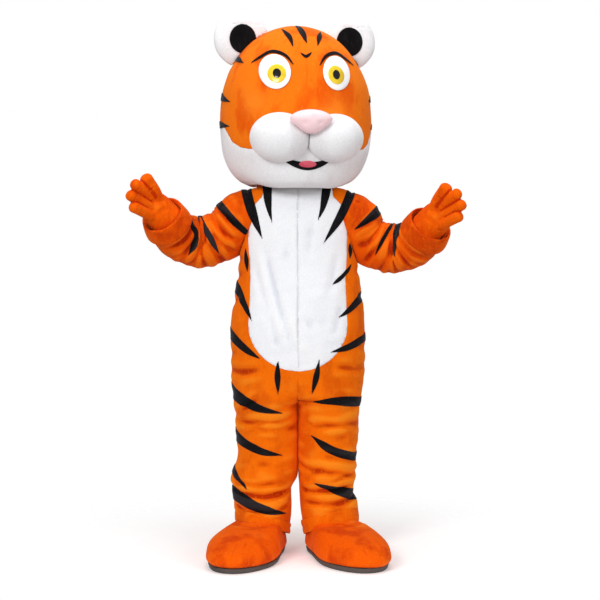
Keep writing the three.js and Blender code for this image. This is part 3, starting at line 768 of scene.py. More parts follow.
# The belly's long slanting pulls, on each half, as (distance out, height) places.
BELLY_CREASES = {
    "right": [
        ([(124, 1090), (86, 950), (44, 800), (20, 700)], 5.5, 11, 3.0),
        ([(150, 1010), (128, 930), (112, 860)], 3.0, 10, 1.5),
        ([(60, 1180), (44, 1090), (40, 1020)], 2.5, 14, 1.5),
        ([(96, 840), (80, 770), (62, 716)], 3.0, 10, 1.5),
    ],
    "left": [
        ([(60, 1190), (40, 1100), (28, 1010)], 2.5, 14, 1.5),
        ([(140, 1060), (118, 960), (96, 880)], 2.5, 13, 1.5),
        ([(34, 830), (46, 760), (60, 700)], 2.5, 11, 1.5),
        ([(150, 880), (136, 820), (120, 760)], 3.0, 11, 1.5),
    ],
}
# Stripes of each half in the front view: (outwards, height) places, and widths along them. They go on round
# the side to the back, but for the chest's, which stop at the shoulder seam, and the back's own.
BODY_STRIPES = {
    "right": {
        "chest_inner": ([(107, 1325), (102, 1225), (88, 1152)], [37, 27, 1], 1),
        "chest_outer": ([(190, 1310), (158, 1192), (120, 1096)], [36, 34, 1], 1),
        "rib": ([(180, 1066), (178, 1024), (174, 984)], [1, 15, 1], 0),
        "waist": ([(236, 978), (210, 928), (182, 868), (156, 816)], [22, 25, 20, 1], 0),
        "hip": ([(262, 808), (232, 768), (182, 722), (127, 688)], [26, 28, 24, 1], 0),
        "crotch": ([(68, 690), (69, 628), (67, 565)], [1, 20, 1], 1),
        "thigh": ([(262, 612), (226, 566), (146, 524), (52, 500)], [38, 38, 26, 1], 0),
        "knee": ([(240, 452), (206, 408), (134, 372), (52, 354)], [28, 31, 24, 1], 0),
        "shin_high": ([(246, 342), (230, 304), (206, 268), (172, 236)], [16, 20, 16, 1], 0),
        "shin": ([(246, 226), (207, 206), (130, 172), (40, 147)], [30, 36, 30, 1], 0),
        "shoulder_back": ([(170, 1236), (110, 1206), (44, 1204)], [20, 26, 1], -1),
        "back": ([(226, 1130), (150, 1092), (50, 1086)], [28, 28, 1], -1),
    },
    "left": {
        "chest_inner": ([(106, 1325), (90, 1226), (68, 1158)], [37, 27, 1], 1),
        "chest_outer": ([(200, 1300), (152, 1188), (86, 1080)], [31, 30, 1], 1),
        "rib": ([(178, 1086), (180, 1056), (177, 1030)], [1, 13, 1], 0),
        "waist_high": ([(182, 1010), (170, 990), (148, 966), (116, 940)], [3, 13, 14, 1], 0),
        "waist": ([(246, 930), (212, 890), (178, 856), (138, 828)], [22, 24, 19, 1], 0),
        "hip": ([(256, 776), (220, 750), (168, 726), (110, 712)], [22, 26, 20, 1], 0),
        "crotch": ([(72, 690), (62, 628), (46, 565)], [1, 20, 1], 1),
        "thigh": ([(256, 520), (204, 536), (130, 544), (46, 541)], [34, 34, 24, 1], 0),
        "knee": ([(232, 330), (188, 346), (112, 376), (43, 424)], [26, 29, 27, 1], 0),
        "shin": ([(220, 196), (176, 216), (112, 240), (54, 259)], [34, 34, 22, 1], 0),
        "shoulder_back": ([(176, 1246), (112, 1214), (42, 1206)], [20, 26, 1], -1),
        "back": ([(226, 1140), (150, 1098), (46, 1088)], [28, 28, 1], -1),
    },
}


def build_body(side):
    sign = SIDES[side]
    surface = half_surface(side)
    sheet = grid_sheet(surface, np.linspace(-180, 180, 133), np.linspace(55, 1325, 200), sign < 0)
    points, turn = sheet[0][:, PLAIN], sheet[0][:, U]
    out = out_of_arm(points, side)
    fade = smooth(out, -30, 26) * smooth(sheet[0][:, V], 1325, 1240)
    inner_leg = np.exp(-(((turn + 90) / 24) ** 2)) * smooth(points[:, 2], 545, 500)
    fade *= 1 - 0.85 * inner_leg
    creases = BODY_CREASES[side] + [
        ([(turn_at(side, x, z), z) for x, z in places], *rest) for places, *rest in BELLY_CREASES[side]
    ]
    sheet = creased(sheet, surface, creases, fade)
    legs = 0.6 + 0.7 * smooth(points[:, 2], 760, 480)
    fine = ripple(points, 46, 5 if sign < 0 else 6, (1, 1, 2.6)) * 1.5 * legs
    bunched = smooth(points[:, 2], 600, 500) * (0.55 + 0.45 * np.cos((points[:, 2] - 215) / 42))
    fine += ripple(points, 30, 7 if sign < 0 else 8, (0.6, 0.6, 2.4)) * 1.9 * bunched
    sheet = raised(sheet, (ripple(points, 75, 3 if sign < 0 else 4) * 1.5 + fine) * fade)
    centre = seam(points[:, 2] > 545, points[:, 0])
    sides = seam(np.abs(turn) < 178, points[:, 1])
    sheet = dipped(sheet, [sides, belly_edge(sheet[0]), out, hem_height(side)(sheet[0])])
    sheet = dipped(sheet, [centre], 0.35, 2.5)

    outwards = sign * sheet[0][:, 0]
    sheet[0][:, 0] = sign * np.where(points[:, 2] < CROTCH, np.maximum(outwards, LEG_GAP), outwards)
    sheet = cut(sheet, lambda d: sign * d[:, 0] - CENTRE_GAP)
    sheet = cut(sheet, hem_height(side))

    def past_armhole(d):
        return np.maximum(out_of_arm(d[:, PLAIN], side), ARMHOLE - sign * d[:, 3])

    sheet = cut(sheet, past_armhole)
    front = cut(sheet, lambda d: -d[:, 4] - HALF_GAP)
    back = cut(sheet, lambda d: d[:, 4] - HALF_GAP)
    round_belly = cut(front, lambda d: -belly_edge(d) - SEAM_GAP)
    cloth(f"suit_front_cloth_{side}", round_belly, THICK["suit"], "suit", [f"suit_front_{side}"])
    cloth(f"suit_back_cloth_{side}", back, THICK["suit"], "suit", [f"suit_back_{side}"])
    cloth(f"belly_cloth_{side}", cut(front, belly_edge), THICK["suit"], "belly", [f"belly_{side}"])
    for name, (places, widths, shown_from) in BODY_STRIPES[side].items():
        line = front_line(sign, places)
        stands_for = [f"stripe_{name}_{side}"] if name.startswith("chest") else []
        label = f"stripe_{name}_cloth_{side}"
        stripe_on(label, sheet, line, widths, stands_for=stands_for, faces_way=-shown_from)


for side in SIDES:
    build_body(side)

# ---------------------------------------------------------------- sleeves, cuffs and hems

# Creases of each sleeve, as (turn, share of the length) places, then depth, width and lip. They fan out
# from the inside of the elbow.
ARM_CREASES = {
    "right": [
        ([(30, 0.10), (-20, 0.13), (-74, 0.10)], 4.0, 12, 2.5),
        ([(36, 0.29), (-20, 0.26), (-80, 0.17), (-124, 0.12)], 5.5, 11, 3.5),
        ([(24, 0.42), (-34, 0.37), (-90, 0.27), (-140, 0.21)], 7.5, 10, 5.0),
        ([(24, 0.50), (-30, 0.46), (-85, 0.37), (-132, 0.32)], 5.5, 9, 3.5),
        ([(40, 0.565), (-20, 0.535), (-80, 0.47), (-150, 0.42)], 8.0, 9, 5.0),
        ([(30, 0.61), (-30, 0.60), (-90, 0.555), (-160, 0.53)], 7.0, 8.5, 4.5),
        ([(30, 0.655), (-30, 0.67), (-90, 0.655), (-156, 0.65)], 6.5, 9, 4.5),
        ([(26, 0.71), (-40, 0.745), (-100, 0.755), (-150, 0.76)], 6.0, 9, 4.0),
        ([(70, 0.79), (0, 0.80), (-70, 0.835), (-140, 0.85)], 6.0, 9, 3.5),
        ([(-60, 0.50), (-110, 0.47), (-160, 0.48)], 3.5, 11, 2.5),
        ([(-70, 0.80), (-120, 0.70), (-165, 0.66)], 3.5, 10, 2.5),
        ([(150, 0.40), (100, 0.44), (40, 0.47)], 5.5, 11, 3.5),
        ([(156, 0.55), (100, 0.58), (44, 0.59)], 6.5, 10, 4.0),
        ([(150, 0.72), (96, 0.69), (44, 0.66)], 5.5, 10, 3.5),
        ([(150, 0.22), (100, 0.25), (50, 0.24)], 4.0, 13, 2.5),
    ],
    "left": [
        ([(30, 0.12), (-20, 0.16), (-60, 0.14)], 4.5, 13, 3.0),
        ([(30, 0.30), (-20, 0.27), (-74, 0.18), (-120, 0.13)], 6.0, 11, 4.0),
        ([(28, 0.44), (-30, 0.40), (-84, 0.30), (-136, 0.24)], 7.0, 10, 4.5),
        ([(30, 0.52), (-30, 0.485), (-90, 0.41), (-150, 0.38)], 8.0, 9, 5.0),
        ([(34, 0.58), (-26, 0.57), (-90, 0.53), (-156, 0.50)], 7.5, 8.5, 5.0),
        ([(26, 0.64), (-30, 0.645), (-90, 0.625), (-150, 0.61)], 6.0, 9, 4.0),
        ([(20, 0.70), (-40, 0.725), (-96, 0.73), (-146, 0.72)], 5.0, 10, 3.5),
        ([(70, 0.79), (0, 0.80), (-70, 0.83), (-140, 0.84)], 6.0, 9, 3.5),
        ([(-50, 0.37), (-100, 0.31), (-150, 0.31)], 3.5, 11, 2.5),
        ([(-80, 0.77), (-124, 0.68), (-165, 0.63)], 3.5, 11, 2.5),
        ([(148, 0.38), (100, 0.42), (40, 0.46)], 5.5, 11, 3.5),
        ([(158, 0.57), (100, 0.58), (40, 0.58)], 6.5, 10, 4.0),
        ([(152, 0.73), (96, 0.70), (46, 0.66)], 5.5, 10, 3.5),
        ([(150, 0.24), (104, 0.22), (52, 0.25)], 4.0, 13, 2.5),
    ],
}
# Stripes of each sleeve in the front view, going on over the top to the back.
ARM_STRIPES = {
    "right": {
        "chest": ([(190, 1310), (158, 1192), (120, 1096)], [36, 34, 1]),
        "upper": ([(300, 1250), (266, 1212), (224, 1164), (182, 1124)], [24, 26, 26, 20]),
        "elbow": ([(360, 1206), (338, 1168), (306, 1110), (272, 1050)], [13, 16, 18, 1]),
        "fore": ([(384, 1186), (362, 1148), (350, 1112), (355, 1080), (377, 1044)], [5, 9, 13, 15, 1]),
        "wrist": ([(388, 1152), (402, 1128), (424, 1108), (456, 1093)], [8, 12, 13, 1]),
    },
    "left": {
        "chest": ([(200, 1300), (152, 1188), (86, 1080)], [31, 30, 1]),
        "upper": ([(298, 1222), (266, 1186), (232, 1158), (194, 1130)], [28, 30, 22, 1]),
        "elbow": ([(348, 1166), (322, 1142), (294, 1098), (266, 1042)], [6, 11, 13, 1]),
        "fore": ([(364, 1166), (346, 1136), (334, 1096), (334, 1038)], [20, 21, 14, 1]),
        "wrist": ([(368, 1180), (378, 1152), (394, 1126)], [12, 13, 1]),
    },
}


def build_sleeve(side):
    sign = SIDES[side]
    surface = arm_surface(side)
    sheet = grid_sheet(surface, np.linspace(-180, 180, 101), np.linspace(0.02, 1, 116), sign > 0)
    points, turn, along = sheet[0][:, PLAIN], sheet[0][:, U], sheet[0][:, V]
    outside = out_of_body(points, side)
    fade = smooth(outside, -4, 34) * smooth(along, 1.0, 0.93)
    elbow = np.exp(-((turn / 36) ** 2)) * np.exp(-(((along - 0.6) / 0.14) ** 2))
    below = smooth(180 - np.abs(turn), 0, 46)
    soft = 0.72 * fade * (1 - 0.8 * elbow) * (0.12 + 0.88 * below)
    sheet = creased(sheet, surface, ARM_CREASES[side], soft)
    around = np.column_stack([along * 480, turn * 1.3, 0 * turn])
    fine = ripple(around, 27, 13 if sign < 0 else 14, (2.5, 0.55, 1)) * 2.8
    fine *= (0.2 + 0.8 * below) * (1 - 0.6 * elbow)
    uneven = ripple(points, 60, 11 if sign < 0 else 12) * 1.6 * (0.3 + 0.7 * below)
    sheet = raised(sheet, (uneven + fine) * fade)
    sheet = dipped(sheet, [outside, 85 * np.abs(np.sin(np.radians(turn)))])
    sheet = cut(sheet, lambda d: out_of_body(d[:, WORN], side) - 0.4)
    for name, way in (("top", 1), ("under", -1)):
        half = cut(sheet, lambda d, way=way: way * np.sin(np.radians(d[:, U])))
        cloth(f"sleeve_{name}_cloth_{side}", half, THICK["suit"], "sleeve", [f"sleeve_{name}_{side}"])
    for name, (places, widths) in ARM_STRIPES[side].items():
        where = -1 if name == "chest" else 0
        label, line = f"sleeve_{name}_stripe_{side}", front_line(sign, places)
        stripe_on(label, sheet, line, widths, rise=2.3, faces_way=where)


def closed_ring(name, ring, look, stands_for, seed, creases):
    """A thick soft band: ring(turn, part) gives its skin, where part goes once round its profile."""
    sheet = grid_sheet(ring, np.linspace(-180, 180, 145), np.linspace(0, 1, 21))
    a, b, c = (sheet[0][sheet[1][:, k], WORN] for k in range(3))
    if np.einsum("ij,ij->i", a, np.cross(b, c)).sum() < 0:  # it has come out inside out
        sheet = sheet[0], sheet[1][:, ::-1]
    sheet = creased(sheet, ring, creases)
    sheet = raised(sheet, ripple(sheet[0][:, PLAIN], 40, seed) * 1.2)
    piece = piece_from(name, *sheet)
    return finish_piece(piece, look, stands_for)


def build_cuff(side):
    """The sleeve's end turned back on itself, standing a little off the sleeve."""
    sign = SIDES[side]

    def ring(turn, part):
        a, t = np.radians(turn), 2 * math.pi * part
        along = -22 + 31 * fuller(np.cos(t), 0.8)
        loose = 1.5 * np.sin(2 * a + 1.1 * sign)
        off = 6.6 + loose + 5.6 * fuller(np.sin(t), 0.7) - 0.07 * (along + 22)
        centre, way, high_way, deep_way, high, deep = arm_frames(side, np.ones(len(turn)))
        across = ((high + off) * np.cos(a))[:, None] * high_way
        across = across + ((deep + off) * np.sin(a))[:, None] * deep_way
        taper = np.where(along < 0, 1 - 0.0011 * along, 1.0)[:, None]
        return centre + way * along[:, None] + across * taper

    creases = [
        ([(-150, 0.12), (-120, 0.2), (-84, 0.3)], 2.6, 6, 1.2),
        ([(-60, 0.14), (-40, 0.24), (-24, 0.34)], 2.2, 6, 1.0),
        ([(40, 0.14), (70, 0.24), (88, 0.36)], 2.2, 6, 1.0),
    ]
    closed_ring(f"cuff_cloth_{side}", ring, "sleeve", [f"cuff_{side}"], seed=21, creases=creases)


def build_hem(side):
    """The leg's end turned up on the outside."""
    sign = SIDES[side]
    surface = half_surface(side)
    long, base = (34.0, 1.7) if side == "right" else (46.0, 2.1)

    def ring(turn, part):
        a, t = np.radians(turn), 2 * math.pi * part
        z = np.full(len(turn), float(HEM_HEIGHT))
        for _ in range(4):
            at = surface(turn, z)
            z = HEM_HEIGHT + HEM_SLOPE * (at[:, 0] * sign - LEG_CENTRE) - HEM_SLOPE * at[:, 1]
        up = long / 2 + (long / 2 + 1) * fuller(np.cos(t), 0.8) - 3
        off = base + 2.5 * fuller(np.sin(t), 0.8)
        at = surface(turn, z + up)
        out = np.column_stack([sign * np.sin(a), -np.cos(a), 0 * a])
        return at + out * off[:, None]

    creases = [
        ([(-120, 0.14), (-96, 0.22), (-70, 0.32)], 2.2, 6, 1.0),
        ([(10, 0.14), (26, 0.24), (34, 0.34)], 2.2, 6, 1.0),
        ([(110, 0.14), (130, 0.22), (150, 0.34)], 2.2, 6, 1.0),
    ]
    closed_ring(f"hem_cloth_{side}", ring, "suit", [f"hem_{side}"], seed=31, creases=creases)


def build_placket():
    """The flap over the zip down the middle of the back."""

    def surface(x, z):
        y = np.zeros(len(x))
        for side, sign in SIDES.items():
            middle, wide, _, back = half_section(side, z)
            mine = np.sign(x + 1e-9) == sign
            y = np.where(mine, back * np.sqrt(1 - ((sign * x - middle) / wide) ** 2), y)
        return np.column_stack([x, y, z])

    half, foot, neck = 17, 800, 1312
    sheet = grid_sheet(surface, np.linspace(-half, half, 13), np.linspace(foot, neck, 110), True)
    data = sheet[0]
    edge = np.minimum(half - np.abs(data[:, U]), data[:, V] - foot)
    height = 2.4 - 1.0 * np.exp(-((edge - 4.5) / 1.4) ** 2) - 1.2 * smooth(edge, 1.6, 0)
    sheet = raised(sheet, height + 0.5 * ripple(data[:, PLAIN], 45, 41))
    cloth("back_placket_cloth", sheet, THICK["suit"], "suit", ["back_placket"])


for side in SIDES:
    build_sleeve(side)
    build_cuff(side)
    build_hem(side)
build_placket()


# ---------------------------------------------------------------- the head

# Columns: height, half width, reach to the front and to the back. The head is then turned and shifted.
HEAD_ROWS = np.array(
    [
        (1284, 164, 172, 150), (1300, 196, 206, 178), (1345, 234, 232, 206), (1415, 258, 246, 228),
        (1500, 266, 246, 242), (1585, 260, 238, 244), (1665, 238, 220, 230), (1735, 198, 186, 196),
        (1790, 142, 136, 144), (1823, 80, 78, 82), (1836, 26, 26, 26), (1838, 0, 0, 0),
    ],
    float,
)
HEAD_KEYS = np.append(0, np.cumsum(np.hypot(np.diff(HEAD_ROWS[:, 0]), np.diff(HEAD_ROWS[:, 1]))))
HEAD_PLACE = Matrix.Translation((-8, 0, 0)) @ Matrix.Rotation(math.radians(10), 4, "Z")
JAW_EDGE = np.array(
    [(0, 1400), (120, 1400), (158, 1397), (188, 1396), (214, 1404), (236, 1424), (268, 1500), (300, 1500)]
)
HEAD_TOP = HEAD_ROWS[-1, 0]
HEAD_SEAM = 30  # how far behind the middle the face and the back of the head meet
EYE = (104, 1652, 50, 61)
MUZZLE = (86, -216, 1432, 106, 92, 84)
NOSE = (0, -300, 1480, 74, 36, 43)
NOSE_SEAT = (0, -300, 1480, 60, 30, 34)
EAR = (190, 10, 1790, 96, 38, 98)


def head_surface(turn, share):
    z, wide, front, back = between(share * HEAD_KEYS[-1], HEAD_KEYS, HEAD_ROWS).T
    a = np.radians(turn)
    y = -np.where(np.cos(a) > 0, front, back) * np.cos(a)
    chin = 15 * smooth(-y, 70, 150) * smooth(z, 1345, 1284)
    return np.column_stack([wide * np.sin(a), y, z - chin])


def head_front(x, z):
    """The head's front surface at places in its front view."""
    _, wide, front, _ = between(z, HEAD_ROWS[:, 0], HEAD_ROWS).T
    return -front * np.sqrt(np.clip(1 - (x / wide) ** 2, 0, 1))


def on_head(places, steps=8):
    """A smooth line on the head's front through places in its front view."""
    x, z = line_through(np.array(places, float), steps).T
    return np.column_stack([x, head_front(x, z), z])


def round_head(places, steps):
    """A smooth line round the head through (turn, height) places."""
    turn, z = line_through(np.array(places, float), steps).T
    share = np.interp(z, HEAD_ROWS[:, 0], HEAD_KEYS) / HEAD_KEYS[-1]
    return head_surface(turn, share)


def out_of_head(points):
    _, wide, front, back = between(points[:, 2], HEAD_ROWS[:, 0], HEAD_ROWS).T
    deep = np.maximum(np.where(points[:, 1] < 0, front, back), 1)
    out = (np.hypot(points[:, 0] / np.maximum(wide, 1), points[:, 1] / deep) - 1) * deep
    return np.where(points[:, 2] > HEAD_TOP, points[:, 2] - HEAD_TOP, out)


def in_jaw(data):
    x, y, z = data[:, PLAIN].T
    return np.minimum(np.interp(np.abs(x), JAW_EDGE[:, 0], JAW_EDGE[:, 1]) - z, 96 - y)


def ball_sheet(middle, radii, across, around, turn=0.0):
    """An ellipsoid as a sheet, poles above and below. turn (degrees) is about Y."""
    c, s = math.cos(math.radians(turn)), math.sin(math.radians(turn))

    def surface(a, b):
        a, b = np.radians(a), np.radians(b)
        x, y, z = np.cos(b) * np.sin(a) * radii[0], -np.cos(b) * np.cos(a) * radii[1], np.sin(b) * radii[2]
        return np.column_stack([middle[0] + x * c + z * s, middle[1] + y, middle[2] - x * s + z * c])

    return grid_sheet(surface, np.linspace(-180, 180, across + 1), np.linspace(-90, 90, around + 1))


def build_head_shell():
    sheet = grid_sheet(head_surface, np.linspace(-180, 180, 193), np.linspace(0, 1, 130))
    points = sheet[0][:, PLAIN]
    sheet = raised(sheet, ripple(points, 85, 51) * 1.6)
    ears = [out_of_ear(points, sign) for sign in SIDES.values()]
    jaw = in_jaw(sheet[0])
    crown = seam(points[:, 2] > 1500, points[:, 0])
    nape = seam(points[:, 1] > HEAD_SEAM, points[:, 0])
    sheet = dipped(sheet, [seam(jaw < 0, points[:, 1] - HEAD_SEAM), jaw, crown, nape, *ears], 1.8, 5.0)
    white = cut(sheet, in_jaw)
    rest = cut(sheet, lambda d: -in_jaw(d) - SEAM_GAP)
    face = cut(rest, lambda d: HEAD_SEAM - d[:, 4] - HALF_GAP)
    back = cut(rest, lambda d: d[:, 4] - HEAD_SEAM - HALF_GAP)
    for name, part, look in (("jaw", white, "white"), ("face", face, "head"), ("back", back, "head")):
        cloth(f"head_{name}_cloth", part, THICK["head"], look, [f"head_{name}"], place=HEAD_PLACE)
    return sheet


def out_of_ear(points, sign):
    x, y, z, wide, deep, high = EAR
    c, s = math.cos(math.radians(12 * sign)), math.sin(math.radians(12 * sign))
    dx, dy, dz = points[:, 0] - sign * x, points[:, 1] - y, points[:, 2] - z
    across, up = dx * c - dz * s, dx * s + dz * c
    radius = np.sqrt((across / wide) ** 2 + (dy / deep) ** 2 + (up / high) ** 2)
    return (radius - 1) * deep * 1.4


def out_of_ball(points, ball):
    offset = (points - ball[:3]) / ball[3:]
    return (np.linalg.norm(offset, axis=1) - 1) * min(ball[3:])


def build_muzzle(side):
    sign = SIDES[side]
    x, y, z, wide, deep, high = MUZZLE
    sheet = ball_sheet((sign * x, y, z), (wide, deep, high), 96, 72)
    points = sheet[0][:, PLAIN]
    sheet = raised(sheet, ripple(points, 50, 61 + int(sign)) * 1.3)
    seams = [np.abs(points[:, 0]), out_of_head(points), out_of_ball(points, NOSE_SEAT)]
    sheet = dipped(sheet, seams, 2.5, 7.0)
    sheet = cut(sheet, lambda d: sign * d[:, 0] - 0.2)
    sheet = cut(sheet, lambda d: out_of_head(d[:, WORN]) - 0.5)
    sheet = cut(sheet, lambda d: out_of_ball(d[:, WORN], NOSE_SEAT) - 0.4)
    cloth(f"muzzle_cloth_{side}", sheet, THICK["muzzle"], "white", [f"muzzle_{side}"], place=HEAD_PLACE)


def build_ear(side):
    """A round padded ear with a dished front, and a dark patch sewn in the dish."""
    sign = SIDES[side]
    x, y, z, wide, deep, high = EAR
    sheet = ball_sheet((sign * x, y, z), (wide, deep, high), 84, 60, 12 * sign)
    points = sheet[0][:, PLAIN]
    dx, dz = points[:, 0] - sign * (x - 2), points[:, 2] - (z - 2)
    radius = np.hypot(dx / 50, dz / 54)
    front = smooth(points[:, 1], y, y - 14)
    data = sheet[0].copy()
    dish = 15 * np.exp(-(radius**2) * 1.1) * front
    data[:, 1] += dish
    # Painted shade in the dish: "raised" is lowered there along with the cloth's move back.
    data[:, RAISED] -= dish * 0.35
    sheet = raised((data, sheet[1]), ripple(points, 34, 71) * 1.1)
    sheet = dipped(sheet, [np.abs(points[:, 1] - y), out_of_head(points)])

    def patch_field(d):
        dx, dz = d[:, 3] - sign * (x - 2), d[:, 5] - (z - 2)
        return np.where(d[:, 4] < y, (1 - np.hypot(dx / 46, dz / 50)) * 46, -50)

    sheet = cut(sheet, lambda d: out_of_head(d[:, WORN]) - 0.5)
    cloth(f"ear_cloth_{side}", sheet, THICK["ear"], "white", [f"ear_{side}"], place=HEAD_PLACE)
    patch = cut(finer(only(sheet, patch_field(sheet[0]) > -8)), patch_field)
    cloth(f"ear_inner_cloth_{side}", patch, 1.8, "black", [f"ear_inner_{side}"], out=2.2, place=HEAD_PLACE)


def hard_piece(name, look, stands_for, shape):
    """A unit ball on the head with every point moved by shape."""
    bpy.ops.mesh.primitive_uv_sphere_add(segments=48, ring_count=24, radius=1)
    piece = bpy.context.object
    piece.name = name
    piece.select_set(False)
    points = placed(shape(points_of(piece)), HEAD_PLACE)
    piece.data.vertices.foreach_set("co", to_row(points).ravel())
    return finish_piece(piece, look, stands_for)


def domed(x, z, wide, high, low, dome, lean=0.0):
    """A shape for hard_piece: an oval lying on the head's front, its face bulging by dome."""

    def shape(ball):
        across, up, out = ball.T
        px = x + wide * across * math.cos(lean) - high * up * math.sin(lean)
        pz = z + wide * across * math.sin(lean) + high * up * math.cos(lean)
        _, half, front, _ = between(pz, HEAD_ROWS[:, 0], HEAD_ROWS).T
        y = head_front(px, pz)
        off = np.where(out > 0, low + dome * out, low + 2.5 * out)
        way = np.column_stack([px / half**2, y / front**2, np.zeros(len(px))])
        way /= np.linalg.norm(way, axis=1)[:, None]
        return np.column_stack([px, y, pz]) + way * off[:, None]

    return shape


def build_eye(side, sheet):
    sign = SIDES[side]
    x, z, wide, high = EYE
    eye = domed(sign * x, z, wide, high, 2.5, 7.0, sign * -0.1)
    hard_piece(f"eye_ball_{side}", "eye", [f"eye_{side}"], eye)
    iris = domed(sign * (x - 6), z - 8, 29, 33, 8.2, 2.4)
    hard_piece(f"iris_disc_{side}", "amber", [f"iris_{side}"], iris)
    pupil = domed(sign * (x - 7), z - 8, 13, 17, 10.0, 1.6)
    hard_piece(f"pupil_disc_{side}", "pupil", [f"pupil_{side}"], pupil)
    lid = [(sign * (x + out), z + up) for out, up in [(-60, 22), (-34, 56), (6, 70), (42, 52), (72, 34)]]
    stripe_on(f"eye_lid_cloth_{side}", sheet, on_head(lid), [3, 10, 13, 12, 2], rise=3.0, place=HEAD_PLACE)


def build_nose():
    x, y, z, wide, deep, high = NOSE

    def shape(ball):
        across, up, out = ball[:, 0], ball[:, 1], -ball[:, 2]
        broad = 1.0 - 0.42 * smooth(up, 0.35, -1.0)
        dent = 5 * np.exp(-(((np.abs(across) - 0.42) / 0.16) ** 2 + ((up + 0.25) / 0.2) ** 2)) * (out < 0)
        top = high * np.where(up > 0, 0.86 * up, up)
        return np.column_stack([x + wide * broad * across, y + deep * out + dent, z + top])

    hard_piece("nose_piece", "nose", ["nose"], shape)


def build_mouth(sheet):
    places = [(-104, 1390), (-60, 1352), (0, 1337), (60, 1352), (104, 1390)]
    stripe_on("mouth_cloth", sheet, on_head(places), [3, 17, 27, 17, 3], rise=2.2, place=HEAD_PLACE,
              stands_for=["mouth"])
    hard_piece("tongue_piece", "tongue", ["tongue"], domed(0, 1343, 29, 11, 4.0, 4.5))


# The head's stripes, as (turn, height) places round it, and widths; "front" ones are in the front view.
FRONT_STRIPES = {
    "brow_top": ([(-4, 1828), (2, 1790), (8, 1752)], [16, 22, 2]),
    "brow_right": ([(-62, 1812), (-46, 1776), (-40, 1738)], [2, 17, 2]),
    "brow_left": ([(70, 1806), (54, 1772), (44, 1744)], [2, 17, 2]),
    "bridge": ([(-18, 1716), (0, 1704), (20, 1718)], [2, 11, 2]),
}
ROUND_STRIPES = {
    "temple_right": ([(-98, 1722), (-78, 1712), (-60, 1690)], [14, 20, 1]),
    "temple_left": ([(96, 1730), (80, 1714), (64, 1694)], [14, 20, 1]),
    "cheek_high_right": ([(-116, 1600), (-92, 1590), (-66, 1560)], [18, 27, 1]),
    "cheek_high_left": ([(112, 1612), (92, 1596), (66, 1572)], [18, 27, 1]),
    "cheek_low_right": ([(-112, 1500), (-92, 1494), (-66, 1478)], [16, 24, 1]),
    "cheek_low_left": ([(118, 1508), (94, 1498), (68, 1480)], [16, 24, 1]),
    "nape_high": ([(-150, 1724), (-180, 1742), (-208, 1722)], [1, 25, 1]),
    "nape": ([(-144, 1600), (-180, 1620), (-214, 1598)], [1, 29, 1]),
    "nape_low": ([(-150, 1484), (-180, 1500), (-212, 1482)], [1, 26, 1]),
}


def build_head():
    sheet = build_head_shell()
    build_nose()
    for side in SIDES:
        build_muzzle(side)
        build_ear(side)
        build_eye(side, sheet)
    build_mouth(sheet)
    for stripes, drawn, steps in ((FRONT_STRIPES, on_head, 8), (ROUND_STRIPES, round_head, 12)):
        for name, (places, widths) in stripes.items():
            label, line = f"head_{name}_cloth", drawn(places, steps)
            stripe_on(label, sheet, line, widths, rise=2.4, thick=2.0, place=HEAD_PLACE)


build_head()

# ---------------------------------------------------------------- mitts

# Measured from the middle of the sleeve's end on the left: outwards, to the back and up.
MITT_UP = Vector((0.62, -0.42, 0.66)).normalized()
PALM_ROWS = [(-62, 60, 54), (0, 56, 47), (24, 56, 42), (42, 54, 37), (55, 46, 28), (63, 30, 18)]
DIGITS = {
    "thumb": ((4, -24, 46), (38, -76, 110), 24, 22.5),
    "first": ((18, -30, 48), (72, -105, 92), 17.5, 19.5),
    "middle": ((30, -42, 20), (87, -107, 56), 17.5, 19.5),
    "last": ((25, -38, -10), (77, -101, 18), 17.5, 19.5),
}
PALM_WAY = np.array([-0.33, -0.92, -0.19])
PALM_WAY /= np.linalg.norm(PALM_WAY)
MITT_SEAM = 12  # along PALM_WAY, where the palm and the back of the mitt meet
# Creases on the palm's side, through places on it, then depth, width and lip.
MITT_CREASES = [
    ([(-12, -60, 88), (12, -82, 84), (34, -80, 70)], 4.0, 4.0, 2.0),
    ([(30, -74, 58), (16, -68, 34), (-4, -58, 8)], 4.0, 5.0, 2.2),
    ([(-34, -44, 26), (-8, -56, 6), (18, -58, -22)], 3.4, 6.0, 2.0),
    ([(52, -104, 92), (62, -112, 82), (70, -112, 70)], 2.0, 3.0, 1.0),
    ([(66, -110, 60), (76, -114, 48), (82, -110, 36)], 2.0, 3.0, 1.0),
    ([(58, -100, 28), (66, -104, 12), (66, -98, -2)], 2.0, 3.0, 1.0),
]


def tube(places, radii):
    """A closed form of round or oval sections, each (middle, one half axis, the other) of vectors."""
    mesh = bmesh.new()
    rings, rounds = [], 28
    turns = np.arange(rounds) * 2 * math.pi / rounds
    for middle, one, other in zip(places, *radii):
        rings.append([mesh.verts.new(middle + one * math.cos(t) + other * math.sin(t)) for t in turns])
    for low, high in zip(rings, rings[1:]):
        for k in range(rounds):
            mesh.faces.new((low[k], low[(k + 1) % rounds], high[(k + 1) % rounds], high[k]))
    mesh.faces.new(rings[0][::-1])
    mesh.faces.new(rings[-1])
    return mesh


def digit_form(start, end, low, high):
    start, end = Vector(start), Vector(end)
    way = end - start
    long = way.length
    way.normalize()
    one = way.orthogonal().normalized()
    other = way.cross(one)
    rows = [(-0.4 * low, 0.5 * low), (0.1 * low, 0.9 * low)]
    rows += [(long * 0.4, (low + high) / 2), (long, high * 0.98)]
    rows += [(long + 0.92 * high * f, high * (1 - f**2.7) ** 0.42) for f in (0.3, 0.55, 0.75, 0.9, 0.98)]
    middles = [start + way * a for a, _ in rows]
    return tube(middles, ([one * r for _, r in rows], [other * r for _, r in rows]))


